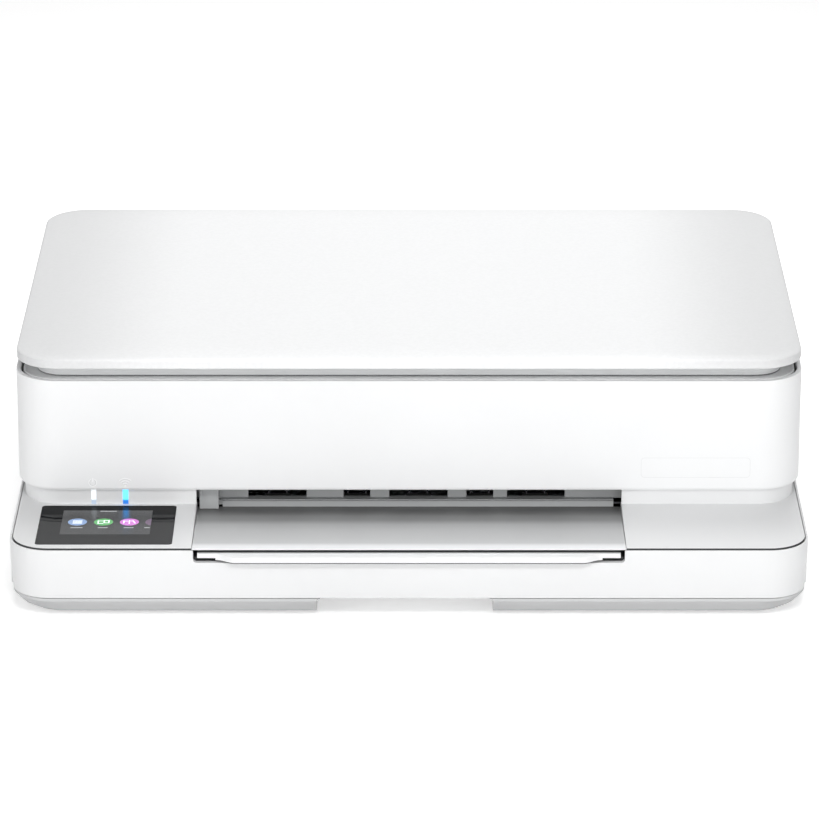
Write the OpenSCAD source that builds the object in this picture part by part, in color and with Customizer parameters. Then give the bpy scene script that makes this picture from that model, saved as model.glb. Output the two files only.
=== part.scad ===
// Inkjet all-in-one printer: base with a paper tray, print engine, lifting scanner housing and lid.
// Millimetres. Origin at the bottom centre of the footprint, front towards -Y, +Z up.

/* [Outside] */
// Width of the base
body_w = 432; // [426:1:440]
// Depth of the base, front to rear
body_d = 361; // [357:1:367]
// Height of the front deck above the table
deck_z = 41; // [40.5:0.1:42]
// Height of the lower edge of the upper shell
shell_z0 = 50; // [49.8:0.1:51]
// Height of the upper edge of the upper shell
shell_z1 = 113.5; // [113:0.5:118]
// Distance from the front of the base to the front of the upper shell
shell_setback = 66; // [65.5:0.1:67]
// Wall thickness of the plastic casings
wall = 2.5; // [2.3:0.1:2.8]

/* [Lid] */
// Thickness of the lid cover at its middle
lid_t = 6.5; // [6:0.1:8]
// Height of the shaded gap between the upper shell and the lid
lid_gap = 7; // [6.8:0.1:8]

/* [Paper path] */
// Width of the widest paper
paper_w = 215.9; // [210:0.1:216]
// Offset of the paper's centre line from the middle of the printer
paper_x = 5; // [4:0.1:6]
// Distance that the paper tray pulls out
tray_travel = 200; // [150:5:220]
// Distance that the tray extender pulls out
extender_travel = 44; // [30:1:46]

/* [Print engine] */
// Radius of the carriage guide rod
rod_r = 4; // [3.5:0.1:4.2]
// Radius of the rubber feed rollers
feed_r = 6; // [5.6:0.1:6.2]

/* [Hidden] */
$fn = 64;
eps = 0.01;

// ---- derived sizes of the casings ----
half_w = body_w / 2;
lip = 4;                // how far the extender's grip stands out in front
front_y = -body_d / 2 + lip / 2;
rear_y = body_d / 2 + lip / 2;
base_cy = lip / 2;      // middle of the base, so that the origin is under the middle of the whole footprint
corner_r = 22;          // corners of the base
shell_r = 24;           // corners of the upper shell and the lid
foot_h = 2;
floor_z = foot_h + 2.5; // top of the bottom case's floor
skirt_z = foot_h + 10;  // where the grey skirt meets the white base
skirt_inset = 9;
seat = 0.3;             // gap between pieces that slide on each other
deck_t = 2.5;
rim_t = 1.2;            // thin rim that stands round the deck
rim_z = deck_z - 0.8;
seam = 0.6;
wrap = 24.5;            // how far the tray front wraps round the corners
draft = 1.2;            // inward lean of the tray front at its lower edge

// upper shell
shell_w = body_w - 0.5;
shell_y0 = front_y + shell_setback;
shell_y1 = rear_y - 9;
shell_d = shell_y1 - shell_y0;
shell_cy = (shell_y0 + shell_y1) / 2;

// neck, recessed under the shell
neck_inset = 3.3;
neck_w = shell_w - 2 * neck_inset;
neck_y0 = shell_y0 + 2.6;
neck_y1 = rear_y - 20.5;
neck_z1 = shell_z0 - seat;
neck_r = shell_r - neck_inset;
neck_cy = (neck_y0 + neck_y1) / 2;

// recess for the printed pages
recess_x = paper_x + paper_w / 2 + 4.05;
ramp_y1 = shell_y0 + 12;
ramp_drop = 5.2;
ramp_z1 = deck_z - ramp_drop;
ramp_t = 1.3;
recess_wall = 1.5;

// display
glass_margin = 14.5;    // deck left of the glass
glass_gap = 10.7;       // deck between the glass and the recess
glass_x0 = -half_w + glass_margin;
glass_w = half_w - glass_margin - glass_gap - recess_x;
glass_y0 = front_y + 7.4;
glass_d = 58.2;
glass_t = 1.4;
lcd_w = glass_w - 21.8;
lcd_d = glass_d - 16.2;
light_x = [glass_x0 + 28.1, glass_x0 + 45.6];
light_w = [2.6, 3];

// tray
bin_x0 = paper_x - paper_w / 2 - 14;
bin_x1 = paper_x + paper_w / 2 + 14;
front_wall = 3.4;
bin_y0 = front_y + front_wall;
bin_y1 = rear_y - 57;
bin_z0 = skirt_z + seat;
bin_floor_t = 3;
bin_floor = bin_z0 + bin_floor_t;
bin_z1 = deck_z - 14.2;  // passes under the exit roller
bin_wall = 2;
cover_y1 = shell_y0 - 3.5;
cover_z0 = deck_z - 9.2;
cover_t = 1.5;
slot_x = recess_x - 1;
slot_z = deck_z - 7.7;
extender_x = slot_x - 2.2;
extender_z0 = cover_z0 + cover_t + seat;
extender_t = 1.6;

// engine places (y and z of each shaft)
exit_y = ramp_y1 + 12.5;
exit_z = deck_z - 7.8;
exit_r = 5.6;
feed_y = exit_y + 66;
feed_z = deck_z - feed_r;
turn_y = rear_y - 33;
turn_z = deck_z - 13;
turn_r = 12;
pick_y = rear_y - 82.5;
pick_z = deck_z - 6;
pick_reach = 34;
pick_r = 8;
shaft_r = 2.5;
run = 0.05;             // radial clearance of a running fit
gear_r = 15;
gear_t = 7;
gear_x = -half_w + 13;
idler_y = (exit_y + feed_y) / 2;
idler_z = (exit_z + feed_z) / 2;
idler_r = norm([exit_y - feed_y, exit_z - feed_z]) / 2 - gear_r;
pinion_r = 6;
pinion_angle = -30;
pinion_y = feed_y + (gear_r + pinion_r) * cos(pinion_angle);
pinion_z = feed_z + (gear_r + pinion_r) * sin(pinion_angle);
tooth = 1.6;             // height of the gear teeth
pulley_r = 8;
pulley_t = 4.5;
// exit rollers, behind the five windows; places and widths as shares of the paper's width
wheel_x = [for (share = [-0.36, -0.1566, 0.001, 0.1584, 0.302]) paper_x + share * paper_w];
window_w = paper_w * [0.15, 0.0686, 0.15, 0.069, 0.1478];
sleeve_pitch = paper_w * 0.176;
left_plate_x = -half_w + 23;
right_plate_x = half_w - 14;
plate_t = 1.5;
engine_x0 = bin_x0 - 5;
engine_x1 = bin_x1 + 5;
engine_t = 2.5;
pulley_x = engine_x0 - 2 - pulley_t;
engine_z1 = deck_z + 3;
guide_z = deck_z + 0.2; // paper plane

// carriage
rail_y = feed_y + 22;
rail_z0 = deck_z + 3;
rail_z1 = shell_z1 - 25.5;
rod_y = feed_y + 4;
rod_z = rail_z0 + 10;
carriage_w = right_plate_x - engine_x1 - 4.05;
carriage_y0 = rail_y - 74;
carriage_y1 = rail_y - 8;
carriage_z0 = deck_z + 6;
carriage_z1 = rail_z1 - 8;
carriage_x = right_plate_x - carriage_w / 2 - 6; // parked over the service station
bay_w = (carriage_w - 3 * 2.2) / 2;
cartridge_w = bay_w - 1;
nozzle_z = deck_z + 2.6;
belt_z = [rail_z0 + 18, rail_z0 + 28];
belt_y = rail_y - 5.5;
belt_w = 3;
belt_pulley_r = 4.2;
motor_pulley_x = left_plate_x + 15;
idler_pulley_x = right_plate_x - 10;

// hinges
hinge_r = 4;
lift_y = neck_y1 + hinge_r;
lift_z = shell_z0 + 6;
hinge_x = half_w - 66;
hinge_w = 6;
pin_r = 3;
lid_z0 = shell_z1 + lid_gap;
lid_w = shell_w - 1.1;
lid_y0 = shell_y0;
lid_d = shell_d - 13;
lid_cy = lid_y0 + lid_d / 2;
lid_pin_y = lid_y0 + lid_d + 3.5;
lid_pin_z = shell_z1 + 3;
lid_pin_r = 2;
lid_barrel_r = 3.4;

// scanner
scan_deck_z0 = shell_z1 - 3.5;
scan_deck_t = 2.5;
scan_gap = 1.5;
scan_deck_inset = wall + scan_gap;
pan_z0 = shell_z1 - 21.5;
pan_t = 2;
window_x = -10;
window_y = lid_cy - 2;
scan_window_w = lid_w - 130.4;
scan_window_d = lid_d - 53;
scan_glass_t = 2.8;
scan_rod_r = 3;
scan_rod_z = pan_z0 + 6.5;
scan_rest_x = window_x - scan_window_w / 2 - 14;
liner_inset = 11;

// colours
white = [0.93, 0.93, 0.94];
off_white = [0.86, 0.87, 0.88];
grey = [0.72, 0.73, 0.74];
dark = [0.16, 0.16, 0.17];
black = [0.05, 0.05, 0.06];
steel = [0.7, 0.71, 0.73];
rubber = [0.12, 0.12, 0.12];

// ---- shapes used again ----

// rounded rectangle, centred
module rounded(w, d, r) {
    square([w - 2 * r, d], center = true);
    square([w, d - 2 * r], center = true);
    for (x = [-1, 1], y = [-1, 1])
        translate([x * (w / 2 - r), y * (d / 2 - r)])
            circle(r);
}

// slab with rounded corners between two heights
module slab(w, d, r, z0, z1) {
    translate([0, 0, z0])
        linear_extrude(z1 - z0)
            rounded(w, d, r);
}

// upright wall that follows a rounded rectangle
module ring(w, d, r, t, z0, z1) {
    translate([0, 0, z0])
        linear_extrude(z1 - z0)
            difference() {
                rounded(w, d, r);
                rounded(w - 2 * t, d - 2 * t, r - t);
            }
}

// box between two corners
module block(a, b) {
    translate(a)
        cube(b - a);
}

// cylinder along X
module rod_x(r, x0, x1, y, z) {
    translate([x0, y, z])
        rotate([0, 90, 0])
            cylinder(r = r, h = x1 - x0);
}

// cylinder along Y
module rod_y(r, y0, y1, x, z) {
    translate([x, y0, z])
        rotate([-90, 0, 0])
            cylinder(r = r, h = y1 - y0);
}

// profile in Y and Z, drawn out along X
module along_x(x0, x1) {
    translate([x0, 0, 0])
        rotate([90, 0, 90])
            linear_extrude(x1 - x0)
                children();
}

// profile in X and Z, drawn out along Y
module along_y(y0, y1) {
    translate([0, y1, 0])
        rotate([90, 0, 0])
            linear_extrude(y1 - y0)
                children();
}

// toothed disc: n teeth, each from the root circle to the tip circle
module toothed(tip, n, depth) {
    polygon([for (i = [0 : n - 1], p = [[0, 0], [0.3, 0], [0.44, 1], [0.86, 1]])
        (tip - p[1] * depth) * [cos(360 * (i + p[0]) / n), sin(360 * (i + p[0]) / n)]]);
}

// gear wheel on an X shaft, with a thin web, a rim and a hub
module gear(r, n, x0, y, z, web_holes) {
    translate([x0, y, z])
        rotate([90, 0, 90])
            difference() {
                linear_extrude(gear_t)
                    toothed(r - seat / 2, n, tooth);
                for (side = [-1, gear_t - 2])
                    translate([0, 0, side])
                        linear_extrude(3)
                            difference() {
                                circle(r - 3.4);
                                circle(4.5);
                            }
                if (web_holes > 0)
                    for (i = [0 : web_holes - 1])
                        rotate([0, 0, 360 * i / web_holes])
                            translate([(r + 1.1) / 2, 0, -1])
                                cylinder(r = (r - 7.9) / 2.8, h = gear_t + 2);
            }
}

// ---- base casings ----

// grey pan under everything: chamfered skirt, floor, rails for the tray and the finger notch
module bottom_case() {
    foot_w = body_w - 2 * skirt_inset;
    foot_d = body_d - 2 * skirt_inset;
    color(grey) {
        difference() {
            translate([0, base_cy, 0])
                difference() {
                    hull() {
                        slab(body_w - 2 * draft, body_d - 2 * draft, corner_r, skirt_z - 1.5, skirt_z);
                        slab(foot_w + 8, foot_d + 8, corner_r, foot_h + 3, foot_h + 4);
                        slab(foot_w, foot_d, corner_r - 1, foot_h, foot_h + 0.4);
                    }
                    slab(foot_w - 6, foot_d - 6, corner_r - 4, floor_z, skirt_z + 1);
                }
            // finger notch under the middle of the tray front
            translate([-2.2, front_y + 12, skirt_z - 3])
                along_y(-20, 20)
                    union() {
                        square([91, 6.2], center = true);
                        translate([0, -5])
                            square([95.3, 10], center = true);
                        for (x = [-45.4, 45.4])
                            translate([x, 0.8])
                                circle(2.2);
                    }
        }
        // rails that the tray slides on
        for (x = [bin_x0 + 16, bin_x1 - 22])
            block([x, front_y + 40, floor_z - eps], [x + 6, bin_y1 + 4, skirt_z]);
        // stiffening ribs across the floor
        for (i = [-1.5 : 1.5])
            block([bin_x0 + 22, base_cy + i * body_d / 6, floor_z - eps],
                [bin_x1 - 22, base_cy + i * body_d / 6 + 1.6, skirt_z - 2]);
        // posts with pegs that carry the circuit board
        for (p = board_holes)
            translate([p[0], p[1], floor_z - eps]) {
                cylinder(r = 3.4, h = board_z - floor_z + eps);
                cylinder(r = 1.5, h = board_z + 1.4 - floor_z);
            }
    }
}

module rubber_feet() {
    color(rubber)
        for (x = [-1, 1], y = [-1, 1])
            translate([x * (half_w - 52), base_cy + y * (body_d / 2 - 38), 0])
                union() {
                    cylinder(r = 8, h = foot_h);
                    translate([0, 0, foot_h - 0.8])
                        cylinder(r = 9, h = 0.8);
                }
}

// white side walls and rear wall
module base_shell() {
    y0 = front_y + wrap + seam;
    color(white) {
        difference() {
            translate([0, base_cy, 0]) {
                ring(body_w, body_d, corner_r, wall, skirt_z, deck_z - deck_t);
                ring(body_w, body_d, corner_r, rim_t, deck_z - deck_t - eps, rim_z);
            }
            // open at the front, where the tray front closes it
            block([-half_w - 1, front_y - 1, 0], [half_w + 1, y0, deck_z + 1]);
            // rear door and its pins
            block([door_x0, rear_y - wall - 1, door_z0], [door_x1, rear_y + 1, door_z1]);
            rod_x(door_pin_r + run, door_x0 - 2.6, door_x1 + 2.6, door_pin_y, door_pin_z);
            // power inlet
            block([inlet_x - 11, rear_y - wall - 1, inlet_z - 7], [inlet_x + 11, rear_y + 1, inlet_z + 7]);
            // socket
            block([usb_x - 6.5, rear_y - wall - 1, usb_z - 6], [usb_x + 6.5, rear_y + 1, usb_z + 6]);
            // buttons
            for (x = button_x)
                rod_y(button_r + seat, rear_y - wall - 1, rear_y + 1, x, button_z);
            // ventilation slots
            for (i = [0 : 4])
                block([vent_x + i * 5, rear_y - wall - 1, 17], [vent_x + i * 5 + 2.4, rear_y + 1, 33]);
        }
    }
}

door_x0 = paper_x - 103;
door_x1 = paper_x + 103;
door_z0 = skirt_z + 2;
door_z1 = deck_z - deck_t - 0.4;
right_bay = half_w - door_x1; // rear wall between the door and the right side
inlet_x = pulley_x - 26.5;
inlet_z = skirt_z + 10;
usb_x = door_x1 + 0.593 * right_bay;
usb_z = skirt_z + 6;
button_x = [door_x1 + 0.222 * right_bay, door_x1 + 0.407 * right_bay];
button_r = 5;
button_z = skirt_z + 14;
vent_x = door_x0 - 36;

// white shelf round the machine, with the neck under the shell and the pockets in front
module deck_cover() {
    deck_w = body_w - 2 * (rim_t + seam);
    deck_d = body_d - 2 * (rim_t + seam);
    neck_gap = 3;
    color(white)
        difference() {
            union() {
                difference() {
                    translate([0, base_cy, 0])
                        slab(deck_w, deck_d, corner_r - rim_t - seam, deck_z - deck_t, deck_z);
                    translate([0, neck_cy, 0])
                        slab(neck_w - 2 * wall, neck_y1 - neck_y0 - 2 * wall, neck_r - wall,
                            deck_z - 2 * deck_t, deck_z + 1);
                }
                translate([0, neck_cy, 0])
                    ring(neck_w, neck_y1 - neck_y0, neck_r, wall, deck_z - eps, neck_z1);
                // side walls of the recess
                for (side = [-1, 1])
                    along_x(side * recess_x + (side < 0 ? -recess_wall : 0),
                            side * recess_x + (side < 0 ? 0 : recess_wall))
                        polygon([[front_y + 20, deck_z - deck_t + eps], [ramp_y1, deck_z - deck_t + eps],
                            [ramp_y1, ramp_z1 - ramp_t], [ramp_y1 - 20, ramp_z1 - ramp_t]]);
            }
            // recess for the printed pages
            block([-recess_x, front_y - 1, deck_z - 9], [recess_x, neck_y0 + wall + 1, shell_z0]);
            // pocket for the display glass, with the opening for the display in it
            translate([glass_x0 + glass_w / 2, glass_y0 + glass_d / 2, 0]) {
                slab(glass_w + 0.2, glass_d + 0.2, 2, deck_z - glass_t, deck_z + 1);
                slab(glass_w - 8, glass_d - 8, 2, deck_z - deck_t - 1, deck_z + 1);
            }
            // slots for the light pipes
            for (i = [0, 1])
                block([light_x[i] - light_w[i] / 2, neck_y0 - 1, deck_z], [light_x[i] + light_w[i] / 2,
                    neck_y0 + neck_gap, neck_z1 + 1]);
        }
}

module display_glass() {
    color(black)
        translate([glass_x0 + glass_w / 2, glass_y0 + glass_d / 2, 0])
            slab(glass_w, glass_d, 2, deck_z - glass_t, deck_z + 0.15);
}

// display and touch board under the glass
module display_module() {
    color(dark)
        translate([glass_x0 + glass_w / 2, glass_y0 + glass_d / 2, deck_z - glass_t]) {
            translate([0, 3.5, -1.9])
                cube([lcd_w, lcd_d, 3.8], center = true);
            translate([0, 0, -4.5])
                cube([glass_w - 10, glass_d - 10, 1.6], center = true);
            for (x = [-20, 0, 20])
                translate([x, -10, -6])
                    cube([8, 6, 2], center = true);
        }
}

module light_pipe(i) {
    x0 = light_x[i] - light_w[i] / 2;
    block([x0, neck_y0 - 0.1, deck_z], [x0 + light_w[i], neck_y0 + wall, neck_z1]);
    block([x0, neck_y0 + wall - eps, neck_z1 - 5], [x0 + light_w[i], neck_y0 + wall + 8, neck_z1 - 2]);
}

module light_pipes() {
    color([0.95, 0.97, 1])
        light_pipe(0);
    color([0.2, 0.6, 1])
        light_pipe(1);
}

// sloping floor of the recess
module output_ramp() {
    y0 = front_y + rim_t + seam;
    color(white)
        along_x(-recess_x + 0.2, recess_x - 0.2)
            union() {
                polygon([[y0, deck_z - 0.1], [y0 + 2, deck_z], [ramp_y1, ramp_z1], [ramp_y1, ramp_z1 - ramp_t],
                    [y0 + 4, deck_z - ramp_t - 0.2], [y0, deck_z - 1.1]]);
            }
}

// ---- print engine ----

// exit guide: bar at the back of the ramp, block at its left, and the plate with five windows that
// holds the star wheels
module exit_guide() {
    bar_x0 = paper_x - paper_w / 2;
    bar_x1 = paper_x + paper_w / 2;
    bar_y0 = ramp_y1 + 0.3;
    bar_z1 = ramp_z1 + 3.2;
    y0 = ramp_y1 + 5;
    x0 = engine_x0 + engine_t;
    x1 = engine_x1 - engine_t;
    color(grey)
        difference() {
            union() {
                block([x0, y0, bar_z1], [x1, y0 + 2, neck_z1 + 3]);
                block([x0, y0 + 1, neck_z1 + 0.5], [x1, y0 + 13, neck_z1 + 3]);
                for (i = [0 : 3])
                    star_bearing((wheel_x[i] + wheel_x[i + 1]) / 2);
                star_bearing(wheel_x[0] - 24);
                star_bearing(wheel_x[4] + 24);
                // bar in front, joined to the plate between the windows
                block([bar_x0, bar_y0, ramp_z1 - 0.6], [bar_x1, bar_y0 + 3, bar_z1]);
                block([bar_x0, bar_y0 + 1, bar_z1 - eps], [bar_x1, y0 + 1, bar_z1 + 0.5]);
                // guide block at the left
                block([-recess_x + 1.6, ramp_y1 - 5, ramp_z1 + 0.6], [-recess_x + 12, bar_y0 + 3, neck_z1 - 1.5]);
                block([-recess_x + 1.6, bar_y0 + 1.4, ramp_z1 + 0.6], [bar_x0 + 0.5, y0 + 1, bar_z1]);
            }
            for (i = [0 : 4])
                block([wheel_x[i] - window_w[i] / 2, y0 - 0.5, bar_z1 + 0.5],
                    [wheel_x[i] + window_w[i] / 2, y0 + 2.5, bar_z1 + 8]);
            rod_x(star_shaft_r + run, engine_x0, engine_x1, exit_y, star_z);
        }
}

star_r = 4.6;
star_shaft_r = 0.8;
star_z = exit_z + exit_r + star_r + 0.4;

module star_bearing(x) {
    block([x - 1.5, exit_y - 3, star_z - 2], [x + 1.5, exit_y + 3, neck_z1 + 1]);
}

// thin toothed wheels that hold the wet page down, on one shaft
module star_wheels() {
    color(steel) {
        rod_x(star_shaft_r, wheel_x[0] - 26, wheel_x[4] + 26, exit_y, star_z);
        for (x = wheel_x, dx = [-5, 5])
            translate([x + dx - 0.4, exit_y, star_z])
                rotate([90, 0, 90])
                    linear_extrude(0.8)
                        toothed(star_r, 18, 1);
    }
}

// plastic frame of the print engine: two walls, the paper guide between them and the shaft bores
module engine_frame() {
    guide_t = 1.6;
    rib_pitch = (engine_x1 - engine_x0 - 36.5) / 15;
    shafts = [[exit_y, exit_z], [feed_y, feed_z], [turn_y, turn_z]];
    color(dark)
        difference() {
            union() {
                for (x = [engine_x0, engine_x1 - engine_t])
                    along_x(x, x + engine_t)
                        polygon([[exit_y - 9, floor_z], [turn_y + 9, floor_z], [turn_y + 11, turn_z + 6],
                            [turn_y - 6, deck_z], [feed_y + 18, engine_z1],
                            [feed_y - 8, engine_z1], [feed_y - 12, engine_z1 - 2], [exit_y + 10, engine_z1 - 2],
                            [exit_y + 6, neck_z1 + 3], [exit_y - 9, neck_z1 + 3]]);
                // paper guide
                block([engine_x0 + 1, feed_y + 9, guide_z - guide_t], [engine_x1 - 1, turn_y - 14, guide_z - 0.2]);
                for (i = [0 : 15])
                    block([engine_x0 + 16 + i * rib_pitch, feed_y + 9, guide_z - 0.3],
                        [engine_x0 + 17.2 + i * rib_pitch, pick_y - pick_reach - 16, guide_z]);
            }
            // well for the pick arm
            block([paper_x - 24, pick_y - pick_reach - 14, guide_z - 5], [paper_x + 24, pick_y + 10, guide_z + 1]);
            for (s = shafts)
                rod_x(shaft_r + run, engine_x0 - 1, engine_x1 + 1, s[0], s[1]);
            rod_x(pin_r, engine_x0 - 1, engine_x1 + 1, pick_y, pick_z);
            // windows in the walls
            for (y = [feed_y + 32, feed_y + 74])
                block([engine_x0 - 1, y, floor_z + 8], [engine_x1 + 1, y + 30, pick_z - 6]);
        }
}

// ribbed plate under the print zone
module platen() {
    y0 = exit_y + 12;
    y1 = feed_y - 9;
    z0 = deck_z - 5;
    rib_pitch = (engine_x1 - engine_x0 - 29.5) / 22;
    color(dark) {
        block([engine_x0 + engine_t, y0, z0], [engine_x1 - engine_t, y1, deck_z - 2]);
        for (i = [0 : 22])
            block([engine_x0 + 12 + i * rib_pitch, y0 + 2, deck_z - 2.1],
                [engine_x0 + 13.2 + i * rib_pitch, y1 - 1, deck_z]);
    }
}

// folded sheet steel that carries the carriage, with an end plate at each side
module chassis_rail() {
    plate_z0 = floor_z;
    color(steel)
        difference() {
            union() {
                block([left_plate_x + eps, rail_y, rail_z0], [right_plate_x + plate_t, rail_y + plate_t, rail_z1]);
                block([left_plate_x + eps, rail_y, rail_z1 - plate_t], [right_plate_x + plate_t, rail_y + 15, rail_z1]);
                block([left_plate_x + eps, rail_y, rail_z0], [right_plate_x + plate_t, rail_y + 13, rail_z0 + plate_t]);
                along_x(left_plate_x, left_plate_x + plate_t)
                    polygon([[exit_y - 12, plate_z0], [rail_y + 30, plate_z0], [rail_y + 30, rail_z0],
                        [rail_y + 15, rail_z1], [rod_y - 10, rail_z1], [rod_y - 14, rod_z + 12],
                        [idler_y - 8, rod_z + 2], [exit_y - 12, exit_z + 14]]);
                along_x(right_plate_x, right_plate_x + plate_t)
                    polygon([[feed_y - 16, plate_z0], [rail_y + 30, plate_z0], [rail_y + 30, rail_z0],
                        [rail_y + 15, rail_z1], [rod_y - 10, rail_z1], [rod_y - 14, rod_z + 12],
                        [feed_y - 16, rod_z]]);
            }
            for (s = [[exit_y, exit_z], [feed_y, feed_z], [idler_y, idler_z]])
                rod_x(shaft_r + run, left_plate_x - 1, left_plate_x + plate_t + 1, s[0], s[1]);
            rod_x(motor_shaft_r + 0.6, left_plate_x - 1, left_plate_x + plate_t + 1, pinion_y, pinion_z);
            // lightening holes and motor holes in the front plate
            for (i = [0 : 7])
                rod_y(6, rail_y - 1, rail_y + plate_t + 1, left_plate_x + 53 + i * (right_plate_x - left_plate_x) / 10,
                    rail_z0 + 12);
            rod_y(motor_shaft_r + 0.6, rail_y - 1, rail_y + plate_t + 1, motor_pulley_x, belt_mid_z);
            rod_y(2 + run, rail_y - 1, rail_y + plate_t + 1, idler_pulley_x, belt_mid_z);
        }
}

motor_shaft_r = 1.5;
belt_mid_z = (belt_z[0] + belt_z[1]) / 2;

module guide_rod() {
    color(steel)
        rod_x(rod_r, left_plate_x + plate_t, right_plate_x, rod_y, rod_z);
}

// clear strip with fine marks that the carriage reads
module encoder_strip() {
    color([0.75, 0.78, 0.8, 0.6]) {
        block([left_plate_x + plate_t, rail_y - 1.4, rail_z1 - 9], [right_plate_x, rail_y - 1, rail_z1 - 3]);
    }
}

// toothed belt round the two pulleys
module carriage_belt() {
    r = belt_pulley_r + 0.3;
    color(rubber)
        translate([0, belt_y + belt_w / 2, 0])
            along_y(-belt_w / 2, belt_w / 2)
                difference() {
                    belt_outline(r + 0.9);
                    belt_outline(r);
                }
}

module belt_outline(r) {
    translate([motor_pulley_x, belt_mid_z - r])
        square([idler_pulley_x - motor_pulley_x, 2 * r]);
    for (x = [motor_pulley_x, idler_pulley_x])
        translate([x, belt_mid_z])
            circle(r);
}

// the two drive motors: carriage motor behind the rail, feed motor on the left end plate
module drive_motors() {
    color(steel)
        rod_x(12.5, left_plate_x + plate_t, left_plate_x + 27, pinion_y, pinion_z);
    color(steel) {
        rod_y(12, rail_y + plate_t, rail_y + 28, motor_pulley_x, belt_mid_z);
        rod_y(4, rail_y + 27.9, rail_y + 31, motor_pulley_x, belt_mid_z);
    }
}

// pulley on a Y shaft, with a flange at each side
module belt_pulley(x, r, shaft_y1) {
    rod_y(belt_pulley_r, belt_y - 0.4, belt_y + belt_w + 0.4, x, belt_mid_z);
    for (y = [belt_y - 1.2, belt_y + belt_w + 0.4])
        rod_y(belt_pulley_r + 1.9, y, y + 0.8, x, belt_mid_z);
    rod_y(r, belt_y, shaft_y1, x, belt_mid_z);
}

module motor_pulley() {
    color(steel)
        belt_pulley(motor_pulley_x, motor_shaft_r, rail_y + plate_t - 0.2);
}

module idler_pulley() {
    color(off_white)
        belt_pulley(idler_pulley_x, 2, rail_y + plate_t + 3);
}

// ink carriage: an open box with two bays, running on the guide rod
module carriage() {
    x0 = carriage_x - carriage_w / 2;
    bay_y0 = carriage_y0 + 3;
    color(dark)
        difference() {
            union() {
                along_x(x0, x0 + carriage_w)
                    polygon([[carriage_y0 + 6, carriage_z0], [carriage_y1, carriage_z0], [carriage_y1, carriage_z1],
                        [carriage_y1 - 14, carriage_z1], [carriage_y0 + 3, carriage_z1 - 10],
                        [carriage_y0, carriage_z1 - 16], [carriage_y0, carriage_z0 + 6]]);
            }
            for (i = [0, 1]) {
                bay_x = x0 + 2.2 + i * (bay_w + 2.2);
                block([bay_x, bay_y0, carriage_z0 + 2], [bay_x + bay_w, rod_y - rod_r - 3, carriage_z1 + 1]);
                block([bay_x + 2, carriage_y0 + 10, carriage_z0 - 1], [bay_x + bay_w - 2, carriage_y0 + 42,
                    carriage_z0 + 3]);
            }
            rod_x(rod_r + run, x0 - 1, x0 + carriage_w + 1, rod_y, rod_z);
            // clearance round the belt's runs
            block([x0 - 1, belt_y - 3.4, belt_z[0] - 5], [x0 + carriage_w + 1, rail_y + 1, belt_z[1] + 5]);
            // groove in the rear wall for the board
            block([x0 + 6, rod_y - rod_r - 3.5, carriage_z0 + 22], [x0 + carriage_w - 6, rod_y - rod_r - 1,
                carriage_z1 + 1]);
        }
}

// ink cartridge: body, nozzle block below and a grip at the top front
module cartridge(i) {
    x0 = carriage_x - carriage_w / 2 + 2.2 + i * (bay_w + 2.2) + (bay_w - cartridge_w) / 2;
    y0 = carriage_y0 + 3.5;
    y1 = rod_y - rod_r - 3.5;
    z0 = carriage_z0 + 2.3;
    z1 = carriage_z1 - 2;
    along_x(x0, x0 + cartridge_w)
        polygon([[y0, z0], [y1, z0], [y1, z1], [y0 + 14, z1], [y0 + 8, z1 - 3], [y0, z1 - 10]]);
    block([x0 + 2.5, y0 + 9, nozzle_z], [x0 + cartridge_w - 2.5, y0 + 34, z0 + eps]);
    block([x0 + 4, y0 + 16, z1 - eps], [x0 + cartridge_w - 4, y0 + 19, z1 + 1.5]);
}

module black_cartridge() {
    color(black)
        cartridge(0);
}

module colour_cartridge() {
    color([0.2, 0.2, 0.22])
        cartridge(1);
}

// flat cable in a U above the rear of the carriage, its fixed end on the rail
module ribbon_cable() {
    low = carriage_z1 + 1.2;
    high = rail_z1;
    thick = 0.4;
    r = (high - low) / 2;
    y0 = rod_y - rod_r - 2;
    y1 = carriage_y1 - 1;
    // the loop reaches a little less than half way to the far plate
    x0 = carriage_x - (right_plate_x - left_plate_x) * 0.46;
    color(off_white) {
        along_y(y0, y1) {
            for (z = [low, high])
                translate([x0, z])
                    square([carriage_x - x0, thick]);
            translate([x0, low + r + thick / 2])
                intersection() {
                    difference() {
                        circle(r + thick / 2);
                        circle(r - thick / 2);
                    }
                    translate([-r - 1, -r - 1])
                        square([r + 1, 2 * r + 2]);
                }
        }
        block([carriage_x - 16, y0, high], [carriage_x, rail_y + 12, high + thick]);
    }
}

// capping station under the parked carriage
module service_station() {
    x0 = engine_x1 + 4.5;
    y0 = carriage_y0 - 8;
    y1 = carriage_y0 + 46;
    color(dark) {
        difference() {
            block([x0, y0, floor_z], [right_plate_x - 3, y1, deck_z - 4]);
            block([x0 + 2, y0 + 2, floor_z + 4], [right_plate_x - 5, y1 - 2, deck_z]);
        }
        // sled with a cap for each cartridge
        block([x0 + 3, y0 + 6, floor_z + 3.9], [right_plate_x - 6, y1 - 4, deck_z - 5]);
        for (i = [0, 1])
            translate([carriage_x - carriage_w / 2 + 2.2 + i * (bay_w + 2.2) + bay_w / 2, carriage_y0 + 25, deck_z - 5.1])
                linear_extrude(nozzle_z - 0.5 - deck_z + 5.1)
                    difference() {
                        rounded(bay_w - 11.7, 26, 3);
                        rounded(bay_w - 15.7, 22, 2);
                    }
        // wiper blades
        for (y = [y0 + 8, y0 + 11])
            block([x0 + 12, y, deck_z - 5.1], [x0 + 30, y + 0.8, nozzle_z - 0.6]);
    }
}

// ---- rollers and drive ----

// row of rubber sleeves on a shaft
module sleeves(xs, len, r, y, z) {
    for (x = xs)
        rod_x(r, x - len / 2, x + len / 2, y, z);
}

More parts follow.
